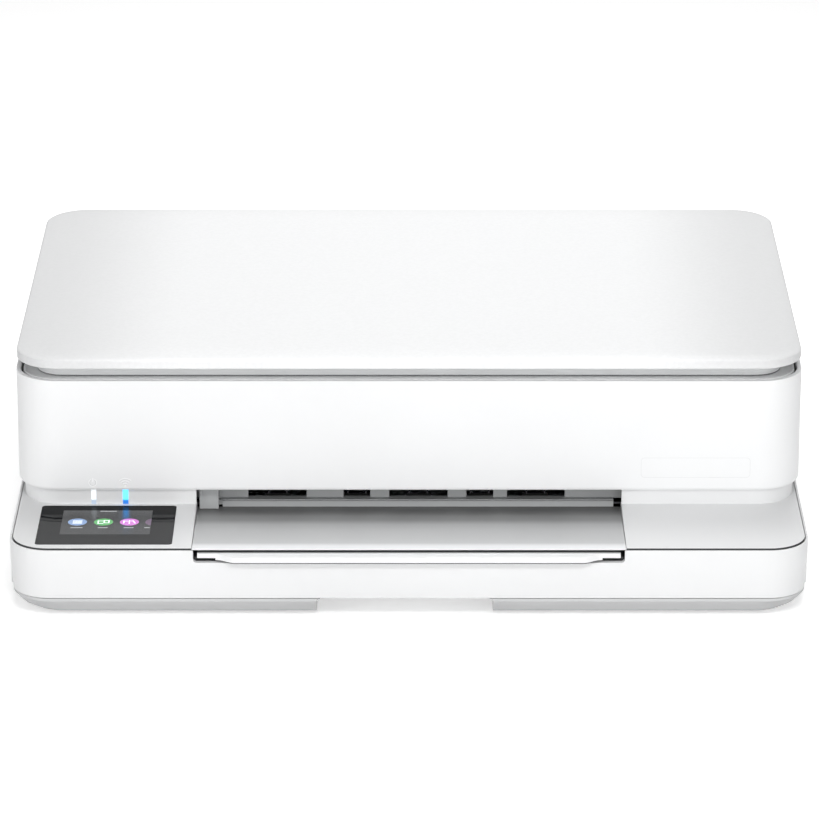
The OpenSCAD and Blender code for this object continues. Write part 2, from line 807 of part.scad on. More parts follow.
module feed_roller() {
    color(steel)
        rod_x(shaft_r, gear_x - 1, engine_x1 + 5, feed_y, feed_z);
    color(rubber)
        sleeves([for (i = [-2.5 : 2.5]) paper_x + i * sleeve_pitch], 26, feed_r, feed_y, feed_z);
    color(off_white) {
        gear(gear_r, 30, gear_x, feed_y, feed_z, 6);
        drive_pulley(feed_y, feed_z);
    }
    // disc with fine marks for the line feed sensor
    color(grey)
        rod_x(11, engine_x1 + 2.5, engine_x1 + 3.1, feed_y, feed_z);
}

// pulley of the feed belt, with two flanges
module drive_pulley(y, z) {
    rod_x(pulley_r, pulley_x, pulley_x + pulley_t, y, z);
    for (x = [pulley_x - 0.6, pulley_x + pulley_t - 0.4])
        rod_x(pulley_r + 0.9, x, x + 1, y, z);
}

module feed_belt() {
    length = norm([turn_y - feed_y, turn_z - feed_z]);
    angle = atan2(turn_z - feed_z, turn_y - feed_y);
    color(rubber)
        along_x(pulley_x + 0.7, pulley_x + pulley_t - 0.7)
            translate([feed_y, feed_z])
                rotate(angle)
                    difference() {
                        drive_loop(length, pulley_r + seat + 0.9);
                        drive_loop(length, pulley_r + seat);
                    }
}

module drive_loop(length, r) {
    translate([0, -r])
        square([length, 2 * r]);
    circle(r);
    translate([length, 0])
        circle(r);
}

pinch_r = 2.2;
pinch_shaft_r = 0.8;
pinch_z = feed_z + feed_r + 0.4 + pinch_r;

module pinch_rollers() {
    color(off_white) {
        rod_x(pinch_shaft_r, paper_x - 3 * sleeve_pitch - 2, paper_x + 3 * sleeve_pitch + 2, feed_y, pinch_z);
        sleeves([for (i = [-2.5 : 2.5]) paper_x + i * sleeve_pitch], 20, pinch_r, feed_y, pinch_z);
    }
}

// plate that presses the pinch rollers down, fixed to the rail
module pinch_holder() {
    color(dark)
        difference() {
            union() {
                block([paper_x - 3 * sleeve_pitch - 4, feed_y + 4, rail_z0 + 0.2],
                    [paper_x + 3 * sleeve_pitch + 4, rail_y, rail_z0 + 1.7]);
                for (i = [-3 : 3])
                    block([paper_x + i * sleeve_pitch - 3, feed_y - 2, rail_z0 - 2],
                        [paper_x + i * sleeve_pitch + 3, feed_y + 4.1, rail_z0 + 1.7]);
            }
            rod_x(pinch_shaft_r + run, paper_x - 130, paper_x + 130, feed_y, pinch_z);
        }
}

module exit_roller() {
    color(steel)
        rod_x(shaft_r, gear_x - 1, engine_x1 + 3, exit_y, exit_z);
    color(rubber)
        sleeves(wheel_x, 14, exit_r, exit_y, exit_z);
    color(off_white)
        gear(gear_r, 30, gear_x, exit_y, exit_z, 6);
}

module idler_gear() {
    color(off_white) {
        gear(idler_r, 38, gear_x, idler_y, idler_z, 6);
        rod_x(shaft_r, gear_x - 0.5, left_plate_x + plate_t + 1, idler_y, idler_z);
    }
}

module motor_pinion() {
    color(steel)
        rod_x(motor_shaft_r, gear_x - 0.5, left_plate_x + plate_t - 0.2, pinion_y, pinion_z);
    color([0.75, 0.6, 0.3])
        translate([gear_x, pinion_y, pinion_z])
            rotate([90, 0, 90])
                linear_extrude(gear_t)
                    toothed(pinion_r - seat / 2, 12, tooth);
}

module turn_roller() {
    color(steel)
        rod_x(shaft_r, pulley_x - 1, engine_x1 + 3, turn_y, turn_z);
    color(rubber)
        sleeves([for (i = [-2 : 2]) paper_x + i * 1.15 * sleeve_pitch], 22, turn_r, turn_y, turn_z);
    color(off_white)
        drive_pulley(turn_y, turn_z);
}

module pick_shaft() {
    color(steel)
        rod_x(pin_r, engine_x0 - 2, engine_x1 + 2, pick_y, pick_z);
}

pick_w = 14;            // half of the gap between the arm's cheeks
roller_y = pick_y - pick_reach;
roller_z = pick_z + 2.5;

// swinging arm: two cheeks and a bridge
module pick_arm() {
    color(dark)
        difference() {
            union() {
                for (x = [paper_x - pick_w - 3, paper_x + pick_w])
                    along_x(x, x + 3)
                        union() {
                            translate([pick_y, pick_z])
                                circle(6.5);
                            translate([roller_y, roller_z])
                                circle(4.5);
                            polygon([[roller_y, roller_z + 4.5], [pick_y, pick_z + 6.5], [pick_y, pick_z - 6.5],
                                [roller_y, roller_z - 4.5]]);
                        }
                block([paper_x - pick_w - 1, roller_y + 12, roller_z - 2], [paper_x + pick_w + 1, pick_y - 5,
                    roller_z + 2.5]);
            }
            rod_x(pin_r + run, paper_x - 30, paper_x + 30, pick_y, pick_z);
            rod_x(1.5 + run, paper_x - 30, paper_x + 30, roller_y, roller_z);
        }
}

module pick_roller() {
    color(rubber)
        rod_x(pick_r, paper_x - pick_w + 1, paper_x + pick_w - 1, roller_y, roller_z);
    color(steel)
        rod_x(1.5, paper_x - pick_w - 3, paper_x + pick_w + 3, roller_y, roller_z);
}

// ---- electronics ----

board_x0 = engine_x1 + 8;
board_x1 = right_plate_x - 6;
board_w = board_x1 - board_x0;
board_y0 = rear_y - 122.5;
board_y1 = rear_y - 18;
board_z = floor_z + 6.3;
board_holes = [for (x = [board_x0 + 5, board_x0 + 0.62 * board_w], y = [board_y0 + 5, board_y1 - 30]) [x, y]];

module main_board() {
    color([0.1, 0.3, 0.18])
        difference() {
            block([board_x0, board_y0, board_z], [board_x1, board_y1, board_z + 1.6]);
            for (p = board_holes)
                translate([p[0], p[1], board_z - 1])
                    cylinder(r = 1.6, h = 4);
        }
    color(black) {
        block([board_x0 + 0.2 * board_w, board_y0 + 30, board_z + 1.6],
            [board_x0 + 0.5 * board_w, board_y0 + 50, board_z + 3.4]);
        block([board_x0 + 0.65 * board_w, board_y0 + 32, board_z + 1.6],
            [board_x0 + 0.85 * board_w, board_y0 + 42, board_z + 2.8]);
        block([board_x0 + 0.2 * board_w, board_y0 + 10, board_z + 1.6],
            [board_x0 + 0.75 * board_w, board_y0 + 14, board_z + 7]);
    }
    usb_socket();
}

// socket for the data lead, soldered to the board
module usb_socket() {
    color(steel)
        difference() {
            block([usb_x - 6, board_y1 - 4, board_z + 1.6], [usb_x + 6, rear_y - 1, board_z + 12.6]);
            block([usb_x - 4.4, rear_y - 10, board_z + 3], [usb_x + 4.4, rear_y, board_z + 11.2]);
        }
    color(off_white)
        block([usb_x - 2.8, rear_y - 10.1, board_z + 5], [usb_x + 2.8, rear_y - 2.5, board_z + 8.6]);
}

// supply box with the inlet for the mains lead
module power_supply() {
    x0 = left_plate_x + 8;
    x1 = pulley_x - 4;
    y0 = rail_y + 40;
    y1 = rear_y - 50.5;
    color(dark) {
        difference() {
            union() {
                block([x0, y0, floor_z], [x1, y1, floor_z + 30]);
                block([inlet_x - 10, y1 - 1, inlet_z - 6.5], [inlet_x + 10, rear_y - 1, inlet_z + 6.5]);
            }
            // two-lobed socket
            for (x = [-4, 4])
                rod_y(4, rear_y - 14, rear_y, inlet_x + x, inlet_z);
            block([inlet_x - 4, rear_y - 14, inlet_z - 4], [inlet_x + 4, rear_y, inlet_z + 4]);
            for (i = [0 : 6])
                block([x0 + 6 + i * 6, y0 + 6, floor_z + 28], [x0 + 8.5 + i * 6, y1 - 6, floor_z + 31]);
        }
    }
    color(steel)
        for (x = [-4, 4])
            rod_y(1.2, rear_y - 14.2, rear_y - 5, inlet_x + x, inlet_z);
}

// push button: round cap with a collar behind the wall
module rear_button(i) {
    rod_y(button_r, rear_y - wall - 1.5, rear_y - 0.2, button_x[i], button_z);
    rod_y(button_r + 1.4, rear_y - wall - 2.7, rear_y - wall - seat, button_x[i], button_z);
    rod_y(1.6, rear_y - wall - 5, rear_y - wall - 2.6, button_x[i], button_z);
}

module power_button() {
    color(off_white)
        rear_button(0);
}

module wireless_button() {
    color(off_white)
        rear_button(1);
}

// rear access door with the curved ribs that turn the paper
door_pin_y = rear_y - 1.25;
door_pin_z = door_z0 + seat + 1.25;
door_pin_r = 0.8;

module rear_door() {
    reach = door_z1 - seat - door_pin_z;
    color(white) {
        difference() {
            union() {
                block([door_x0 + seat, rear_y - wall, door_pin_z], [door_x1 - seat, rear_y, door_z1 - seat]);
                rod_x(1.25, door_x0 + seat, door_x1 - seat, door_pin_y, door_pin_z);
            }
            // finger hollow at the top
            translate([paper_x, rear_y + 1, door_z1 + 6])
                rotate([90, 0, 0])
                    cylinder(r = 13, h = 2);
        }
        rod_x(door_pin_r, door_x0 - 2.5, door_x1 + 2.5, door_pin_y, door_pin_z);
    }
    color(dark)
        for (i = [-4 : 4])
            along_x(paper_x + i * 22 - 1, paper_x + i * 22 + 1)
                difference() {
                    intersection() {
                        translate([door_pin_y, door_pin_z])
                            circle(reach - 0.3);
                        translate([turn_y, door_pin_z + 0.5])
                            square([rear_y - wall + 0.3 - turn_y, 17]);
                    }
                    translate([turn_y, turn_z])
                        circle(turn_r + 2);
                }
}

// posts on the base that the scanner housing turns on
module hinge_brackets() {
    color(dark)
        for (side = [-1, 1])
            along_x(side * hinge_x - hinge_w / 2, side * hinge_x + hinge_w / 2)
                difference() {
                    union() {
                        translate([lift_y, lift_z])
                            circle(hinge_r);
                        translate([lift_y - hinge_r, deck_z])
                            square([2 * hinge_r, lift_z - deck_z]);
                    }
                    translate([lift_y, lift_z])
                        circle(pin_r + run);
                }
}

// ---- paper tray ----

channel_y = exit_y + 31; // middle of the channel for the guides' racks
rack_w = 6;
guide_pinion_r = 5;
guide_h = bin_z1;       // top of the paper guides
channel_z = bin_floor - 2;

module tray_bin() {
    color(off_white)
        difference() {
            union() {
                difference() {
                    union() {
                        block([bin_x0, bin_y0, bin_z0], [bin_x1, bin_y1, bin_z1]);
                        block([bin_x0, bin_y0, bin_z0], [bin_x1, cover_y1, cover_z0]);
                    }
                    block([bin_x0 + bin_wall, bin_y0 + bin_wall, bin_floor], [bin_x1 - bin_wall,
                        bin_y1 - bin_wall, bin_z1 + 5]);
                    // low rear wall that passes under the rollers
                    block([bin_x0 + bin_wall, bin_y1 - bin_wall - 1, bin_floor + 8], [bin_x1 - bin_wall,
                        bin_y1 + 1, bin_z1 + 5]);
                }
                // sloping ribs that separate the sheets
                for (i = [-4 : 4])
                    along_x(paper_x + i * 20 - 1, paper_x + i * 20 + 1)
                        polygon([[bin_y1 - bin_wall - 5, bin_floor - eps], [bin_y1 - 1, bin_floor - eps],
                            [bin_y1 - 1, bin_floor + 8]]);
            }
            // channel for the racks
            block([bin_x0 + 8, channel_y - 13, channel_z], [bin_x1 - 8, channel_y + 13, bin_floor + 1]);
            // length guide's track
            block([paper_x - 3, bin_y0 + 12, channel_z], [paper_x + 3, channel_y - 20, bin_floor + 1]);
        }
    color(off_white)
        translate([paper_x, channel_y, channel_z - eps])
            cylinder(r = 1.5, h = bin_floor - channel_z - 0.2);
}

// white front of the base, wrapped round the corners, with the slot for the extender
module tray_front() {
    top = deck_z - deck_t - seat;
    slot_r = 2;
    color(white)
        difference() {
            translate([0, base_cy, 0])
                difference() {
                    hull() {
                        slab(body_w, body_d, corner_r, rim_z - 4, rim_z);
                        slab(body_w - 0.4 * draft, body_d - 0.4 * draft, corner_r, (skirt_z + rim_z) / 2, rim_z - 4);
                        slab(body_w - 2 * draft, body_d - 2 * draft, corner_r - 1, skirt_z + seat, skirt_z + 2);
                    }
                    slab(body_w - 2 * front_wall, body_d - 2 * front_wall, corner_r - front_wall, 0, deck_z + 1);
                    slab(body_w - 2 * rim_t, body_d - 2 * rim_t, corner_r - rim_t, top, deck_z + 1);
                }
            block([-half_w - 1, front_y + wrap, 0], [half_w + 1, rear_y + 1, deck_z + 1]);
            // slot with round lower corners
            along_y(front_y - 1, front_y + front_wall + 1)
                union() {
                    translate([-slot_x, slot_z + slot_r])
                        square([2 * slot_x, 10]);
                    translate([-slot_x + slot_r, slot_z])
                        square([2 * (slot_x - slot_r), 5]);
                    for (x = [-1, 1])
                        translate([x * (slot_x - slot_r), slot_z + slot_r])
                            circle(slot_r);
                }
        }
}

// shelf over the front of the bin that carries the extender
module tray_cover() {
    side = extender_x + seat;
    color(off_white) {
        block([bin_x0, bin_y0, cover_z0], [bin_x1, cover_y1, cover_z0 + cover_t]);
        for (x = [-side - 1.6, side])
            block([x, bin_y0 + 1, cover_z0 + cover_t - eps], [x + 1.6, cover_y1, cover_z0 + cover_t + 1.7]);
        // stops at the rear
        for (x = [-60, 60])
            block([x - 8, cover_y1 - 1.6, cover_z0 + cover_t - eps], [x + 8, cover_y1, cover_z0 + cover_t + 1.2]);
    }
}

// sliding extender: thin plate with a grip lip that bulges forward and droops
module tray_extender() {
    blend = 10.5;       // length of each S-curve at the ends of the grip
    flat = extender_x - 9.8 - blend; // half of the straight part between them
    steps = 8;
    z0 = slot_z + 1;
    back = front_y + 9;
    curve = [for (i = [0 : steps]) [flat + blend * i / steps,
        front_y + 0.6 - (lip + 0.6) * (1 + cos(180 * i / steps)) / 2]];
    color(white) {
        block([-extender_x, front_y + 6, extender_z0], [extender_x, cover_y1 - 2, extender_z0 + extender_t]);
        block([-extender_x, front_y + 0.6, slot_z + 2.6], [extender_x, back, slot_z + 5.1]);
        block([-extender_x, front_y + 6, extender_z0], [extender_x, back, slot_z + 5.1]);
        translate([0, 0, z0])
            linear_extrude(3.7)
                polygon(concat([[-flat - blend, back - 4]],
                    [for (i = [steps : -1 : 0]) [-curve[i][0], curve[i][1]]], curve, [[flat + blend, back - 4]]));
        // low ridges that stiffen the plate
        for (x = [-80, -40, 0, 40, 80])
            block([x - 0.6, back, extender_z0 + extender_t - eps], [x + 0.6, back + 30, extender_z0 + extender_t + 0.3]);
    }
}

// width guide: upright fin, foot and the rack below the floor; side is -1 or 1
module width_guide(side) {
    edge = paper_w / 2 + 0.3;
    fin_t = 2;
    foot_w = 16;
    rack_start = -14;   // past the middle, so that the gear always has teeth to turn on
    rack_y = channel_y + side * (guide_pinion_r + (seat + rack_w) / 2);
    foot_z = bin_floor + seat;
    translate([paper_x, 0, 0])
        mirror([side < 0 ? 1 : 0, 0, 0]) {
            block([edge, channel_y - 51, foot_z], [edge + fin_t, channel_y + 37, guide_h]);
            block([edge - foot_w, channel_y - 39, foot_z], [edge + 0.1, channel_y + 27, foot_z + 1]);
            block([edge - foot_w + 4, rack_y - rack_w / 2, channel_z + seat], [edge, rack_y + rack_w / 2, foot_z + 0.5]);
            block([rack_start, rack_y - rack_w / 2, channel_z + seat],
                [edge, rack_y + rack_w / 2, bin_floor - seat]);
        }
}

module left_width_guide() {
    color(dark)
        width_guide(-1);
}

module right_width_guide() {
    color(dark)
        width_guide(1);
}

module guide_pinion() {
    color(white)
        translate([paper_x, channel_y, channel_z + seat])
            linear_extrude(bin_floor - channel_z - 2 * seat)
                difference() {
                    toothed(guide_pinion_r - seat / 2, 14, 1.2);
                    circle(1.5 + run);
                }
}

// length guide at the front of the paper
module length_guide() {
    y0 = bin_y0 + bin_wall + 8;
    color(dark) {
        block([paper_x - 22, y0, bin_floor + seat], [paper_x + 22, y0 + 2.4, guide_h]);
        block([paper_x - 18, y0, bin_floor + seat], [paper_x + 18, y0 + 26, bin_floor + seat + 1.2]);
        block([paper_x - 2.6, y0 + 4, channel_z + seat], [paper_x + 2.6, y0 + 24, bin_floor + seat + 0.5]);
    }
}

module separation_pad() {
    color(rubber)
        translate([paper_x, roller_y, bin_floor])
            linear_extrude(0.8)
                rounded(40, 24, 3);
}

// ---- scanner housing ----

// plain shell round the print engine, open below and above
module upper_shell() {
    color(white) {
        difference() {
            translate([0, shell_cy, 0])
                union() {
                    ring(shell_w, shell_d, shell_r, wall, shell_z0 + 1, shell_z1);
                    ring(shell_w - 1.2, shell_d - 1.2, shell_r - 0.6, wall - 0.6, shell_z0, shell_z0 + 1 + eps);
                }
            // notches for the hinge brackets
            for (side = [-1, 1])
                block([side * hinge_x - hinge_w / 2 - 1, lift_y, shell_z0 - 1],
                    [side * hinge_x + hinge_w / 2 + 1, rear_y, lift_z + hinge_r + 2]);
        }
        // ears beside each bracket
        for (side = [-1, 1], dx = [-1, 1])
            hinge_ear(side * hinge_x + dx * (hinge_w / 2 + 1 + 2));
    }
}

module hinge_ear(x) {
    color(white)
        along_x(x - 2, x + 2)
            difference() {
                union() {
                    translate([lift_y, lift_z])
                        circle(hinge_r + 0.5);
                    translate([lift_y, lift_z - hinge_r - 0.5])
                        square([shell_y1 - wall + 0.1 - lift_y, 2 * hinge_r + 6]);
                }
                translate([lift_y, lift_z])
                    circle(pin_r);
            }
}

module lift_pins() {
    color(steel)
        for (side = [-1, 1])
            rod_x(pin_r, side * hinge_x - hinge_w / 2 - 5.5, side * hinge_x + hinge_w / 2 + 5.5, lift_y, lift_z);
}

// pan that holds the scanning mechanism
module scanner_pan() {
    w = shell_w - 2 * wall - 0.4;
    d = shell_d - 2 * wall - 0.4;
    r = shell_r - wall - 0.2;
    color(dark)
        translate([0, shell_cy, 0]) {
            slab(w, d, r, pan_z0, pan_z0 + pan_t);
            ring(w, d, r, pan_t, pan_z0, scan_deck_z0);
            // holders of the scan rod
            for (x = [-1, 1])
                difference() {
                    block([x * (w / 2 - 4) - 3, window_y - shell_cy - 6, pan_z0 + pan_t - eps],
                        [x * (w / 2 - 4) + 3, window_y - shell_cy + 6, scan_rod_z + scan_rod_r + 2]);
                    rod_x(scan_rod_r, -w, w, window_y - shell_cy, scan_rod_z);
                }
            // ribs that carry the glass frame
            for (y = [-1, 1])
                block([window_x - scan_window_w / 2 - 30, window_y - shell_cy + y * (scan_window_d / 2 + 12) - 0.9,
                    pan_z0 + pan_t - eps], [window_x + scan_window_w / 2 + 20,
                    window_y - shell_cy + y * (scan_window_d / 2 + 12) + 0.9, scan_deck_z0]);
        }
}

// grey deck round the glass, with a raised lip and the posts of the lid hinge
module scanner_deck() {
    w = shell_w - 2 * scan_deck_inset;
    d = shell_d - 2 * scan_deck_inset;
    r = shell_r - scan_deck_inset;
    color(grey) {
        difference() {
            translate([0, shell_cy, 0])
                union() {
                    slab(w, d, r, scan_deck_z0, scan_deck_z0 + scan_deck_t);
                    ring(w, d, r, 1.1, scan_deck_z0 + scan_deck_t - eps, shell_z1 - 0.2);
                }
            translate([window_x, window_y, 0])
                slab(scan_window_w, scan_window_d, 2, scan_deck_z0 - 1, shell_z1);
            // the lip is open behind the lid hinges
            for (side = [-1, 1])
                block([side * lid_hinge_x - 12, lid_pin_y + 4, scan_deck_z0 + scan_deck_t],
                    [side * lid_hinge_x + 12, rear_y, shell_z1 + 1]);
        }
        for (side = [-1, 1], dx = [-1, 1])
            lid_post(side * lid_hinge_x + dx * 7.5);
    }
}

lid_hinge_x = half_w - 78;

module lid_post(x) {
    along_x(x - 2, x + 2)
        difference() {
            union() {
                translate([lid_pin_y, lid_pin_z])
                    circle(lid_barrel_r);
                translate([lid_pin_y - lid_barrel_r, scan_deck_z0 + scan_deck_t - eps])
                    square([2 * lid_barrel_r, lid_pin_z - scan_deck_z0 - scan_deck_t]);
            }
            translate([lid_pin_y, lid_pin_z])
                circle(lid_pin_r + run);
        }
}

module scanner_glass() {
    color([0.6, 0.7, 0.72, 0.4])
        translate([window_x, window_y, 0])
            slab(scan_window_w + 8, scan_window_d + 8, 3, scan_deck_z0 - scan_glass_t, scan_deck_z0);
}

module scan_rod() {
    color(steel)
        rod_x(scan_rod_r, -shell_w / 2 + wall + 4, shell_w / 2 - wall - 4, window_y, scan_rod_z);
}

// scan bar: carrier on the rod with the sensor on top
module scan_bar() {
    z1 = scan_deck_z0 - scan_glass_t - 1;
    x0 = scan_rest_x - 9;
    color(dark)
        difference() {
            union() {
                block([x0, window_y - scan_window_d / 2 - 2, z1 - 6], [x0 + 18, window_y + scan_window_d / 2 + 2, z1]);
                block([x0, window_y - 14, pan_z0 + pan_t + 0.6], [x0 + 18, window_y + 14, z1 - 5.9]);
                // feet at both ends
                for (y = [window_y - scan_window_d / 2 + 2, window_y + scan_window_d / 2 - 8])
                    block([x0 + 4, y, pan_z0 + pan_t + seat], [x0 + 14, y + 6, z1 - 5.9]);
            }
            rod_x(scan_rod_r + run, x0 - 1, x0 + 19, window_y, scan_rod_z);
            // sensor window
            block([x0 + 6, window_y - scan_window_d / 2 + 2, z1 - 1.2], [x0 + 11, window_y + scan_window_d / 2 - 2, z1 + 1]);
        }
    color([0.8, 0.85, 0.9])
        block([x0 + 6, window_y - scan_window_d / 2 + 2, z1 - 1.21], [x0 + 11, window_y + scan_window_d / 2 - 2, z1 - 0.2]);
}

// ---- lid ----

// thin cover with a front band and a soft roll at its edges
module lid_cover() {
    band = 4.6;
    skin = 1.9;
    color(white)
        difference() {
            translate([0, lid_cy, 0])
                hull() {
                    slab(lid_w, lid_d, shell_r, lid_z0, lid_z0 + band);
                    slab(lid_w - 3, lid_d - 3, shell_r - 1.5, lid_z0 + band, lid_z0 + band + 0.9);
                    slab(lid_w - 14, lid_d - 14, shell_r - 5, lid_z0 + band, lid_z0 + lid_t - 0.4);
                    slab(lid_w - 40, lid_d - 40, shell_r - 10, lid_z0 + band, lid_z0 + lid_t);
                }
            translate([0, lid_cy, 0])
                slab(lid_w - 2 * skin, lid_d - 2 * skin, shell_r - skin, lid_z0 - 1, lid_z0 + band - skin);
        }
}

// inset liner under the cover: the skirt, the pad and the hinge arms
module lid_liner() {
    w = lid_w - 2 * liner_inset;
    d = lid_d - 2 * liner_inset;
    r = shell_r - 9;
    z0 = scan_deck_z0 + scan_deck_t + seat;
    color(off_white)
        difference() {
            union() {
                translate([0, lid_cy, 0])
                    slab(w, d, r, z0, lid_z0 + 2.7);
                // arms back to the hinge pins
                for (side = [-1, 1])
                    difference() {
                        block([side * lid_hinge_x - 5, lid_cy + d / 2 - 0.1, lid_pin_z - 2],
                            [side * lid_hinge_x + 5, lid_pin_y, lid_pin_z + lid_barrel_r]);
                        block([side * lid_hinge_x - 6, lid_pin_y - lid_barrel_r - 8, lid_pin_z + 2.6],
                            [side * lid_hinge_x + 6, rear_y, lid_z0 + 9]);
                    }
                for (side = [-1, 1])
                    rod_x(lid_barrel_r - 0.3, side * lid_hinge_x - 5, side * lid_hinge_x + 5, lid_pin_y, lid_pin_z);
                for (side = [-1, 1])
                    rod_x(lid_pin_r, side * lid_hinge_x - 9.5, side * lid_hinge_x + 9.5, lid_pin_y, lid_pin_z);
            }
            // room for the pad
            translate([window_x, window_y, 0])
                slab(scan_window_w - 4, scan_window_d - 4, 1.5, z0 - 1, z0 + 2);
        }
}

// white foam pad that presses the page on the glass
module lid_pad() {
    z0 = scan_deck_z0 + 0.25;
    color([0.97, 0.97, 0.97])
        translate([window_x, window_y, 0])
            slab(scan_window_w - 4.4, scan_window_d - 4.4, 1.5, z0, scan_deck_z0 + scan_deck_t + seat + 2);
}

bottom_case();
rubber_feet();
base_shell();
deck_cover();
display_glass();
display_module();
light_pipes();
output_ramp();
exit_guide();
star_wheels();
engine_frame();
platen();
pinch_holder();
chassis_rail();
guide_rod();
encoder_strip();
carriage_belt();
drive_motors();
motor_pulley();
idler_pulley();
carriage();
black_cartridge();
colour_cartridge();
ribbon_cable();
service_station();
feed_roller();
pinch_rollers();
exit_roller();
idler_gear();
motor_pinion();
feed_belt();
turn_roller();
pick_shaft();
pick_arm();
pick_roller();
main_board();
power_supply();
power_button();
wireless_button();
rear_door();
hinge_brackets();
tray_bin();
tray_front();
tray_cover();
tray_extender();
left_width_guide();
right_width_guide();
guide_pinion();
length_guide();
separation_pad();
upper_shell();
lift_pins();
scanner_pan();
scanner_deck();
scanner_glass();
scan_rod();
scan_bar();
lid_cover();
lid_liner();
lid_pad();
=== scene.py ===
import math

import bmesh
import bpy
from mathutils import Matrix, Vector
from mathutils.geometry import tessellate_polygon


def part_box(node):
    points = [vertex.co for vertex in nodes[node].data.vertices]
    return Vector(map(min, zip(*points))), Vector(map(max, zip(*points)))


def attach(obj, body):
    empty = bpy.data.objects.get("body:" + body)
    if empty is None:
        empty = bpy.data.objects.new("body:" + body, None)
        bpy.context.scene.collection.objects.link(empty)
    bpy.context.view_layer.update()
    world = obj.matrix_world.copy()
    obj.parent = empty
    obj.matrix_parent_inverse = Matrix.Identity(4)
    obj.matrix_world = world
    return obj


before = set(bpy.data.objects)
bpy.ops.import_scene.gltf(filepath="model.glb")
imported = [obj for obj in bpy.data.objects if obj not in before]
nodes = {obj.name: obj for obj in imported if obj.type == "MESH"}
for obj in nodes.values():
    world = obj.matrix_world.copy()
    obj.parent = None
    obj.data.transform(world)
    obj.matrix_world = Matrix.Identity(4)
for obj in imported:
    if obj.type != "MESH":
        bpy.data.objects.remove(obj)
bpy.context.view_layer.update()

MM = 0.001


# ---------------------------------------------------------------- places taken from the CAD

def low(node):
    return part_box(node)[0]


def high(node):
    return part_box(node)[1]


def shaft_of(node):
    """Y and z of the axis of a turning node."""
    lowest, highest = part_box(node)
    return ((lowest.y + highest.y) / 2, (lowest.z + highest.z) / 2)


glass_low = low("display_glass")
glass_face = high("display_glass").z
glass_proud = 0.15 * MM    # the glass stands this much above the deck
deck_top = glass_face - glass_proud
shell_low = low("upper_shell")
light_mid = (low("light_pipes").x + high("light_pipes").x) / 2
gear_end = low("idler_gear").x + 8 * MM
pulley_end = low("turn_roller").x + 6.6 * MM


# ---------------------------------------------------------------- shader nodes

NOISE_RANGE = (0.3, 0.7)     # nearly all values of a noise lie between these
TONE_RANGE = (0.35, 0.65)    # a noise goes from the dark to the light tone between these


class NodeTree:
    """Short calls that add shader nodes and join their sockets."""

    def __init__(self, owner):
        owner.use_nodes = True
        self.tree = owner.node_tree
        self.tree.nodes.clear()

    def node(self, kind, **values):
        made = self.tree.nodes.new(kind)
        for key, value in values.items():
            setattr(made, key, value)
        return made

    def feed(self, socket, value):
        """Links the socket to another one, or sets it to a number or a colour."""
        if isinstance(value, bpy.types.NodeSocket):
            self.tree.links.new(value, socket)
        else:
            socket.default_value = value

    def math(self, operation, a, b=0.0):
        made = self.node("ShaderNodeMath", operation=operation)
        self.feed(made.inputs[0], a)
        self.feed(made.inputs[1], b)
        return made.outputs[0]

    def map_range(self, value, start, end, lowest=0.0, highest=1.0, **values):
        """Goes from the lowest to the highest value while the given value goes from start to end."""
        made = self.node("ShaderNodeMapRange", **values)
        self.feed(made.inputs["Value"], value)
        for key, number in (("From Min", start), ("From Max", end), ("To Min", lowest), ("To Max", highest)):
            made.inputs[key].default_value = number
        return made.outputs["Result"]

    def mix(self, mask, first, second):
        """The first surface where the mask is 0, the second where it is 1."""
        made = self.node("ShaderNodeMixShader")
        for socket, value in zip(made.inputs, (mask, first, second)):
            self.feed(socket, value)
        return made.outputs[0]

    def blend(self, mask, first, second):
        """The first colour where the mask is 0, the second where it is 1."""
        made = self.node("ShaderNodeMix", data_type="RGBA")
        for key, value in (("Factor", mask), ("A", first), ("B", second)):
            self.feed(made.inputs[key], value)
        return made.outputs["Result"]

    def seen_directly(self):
        """1 for rays from the camera and for what glossy or clear surfaces show."""
        rays = self.node("ShaderNodeLightPath").outputs
        direct = self.math("MAXIMUM", rays["Is Camera Ray"], rays["Is Glossy Ray"])
        return self.math("MAXIMUM", direct, rays["Is Transmission Ray"])


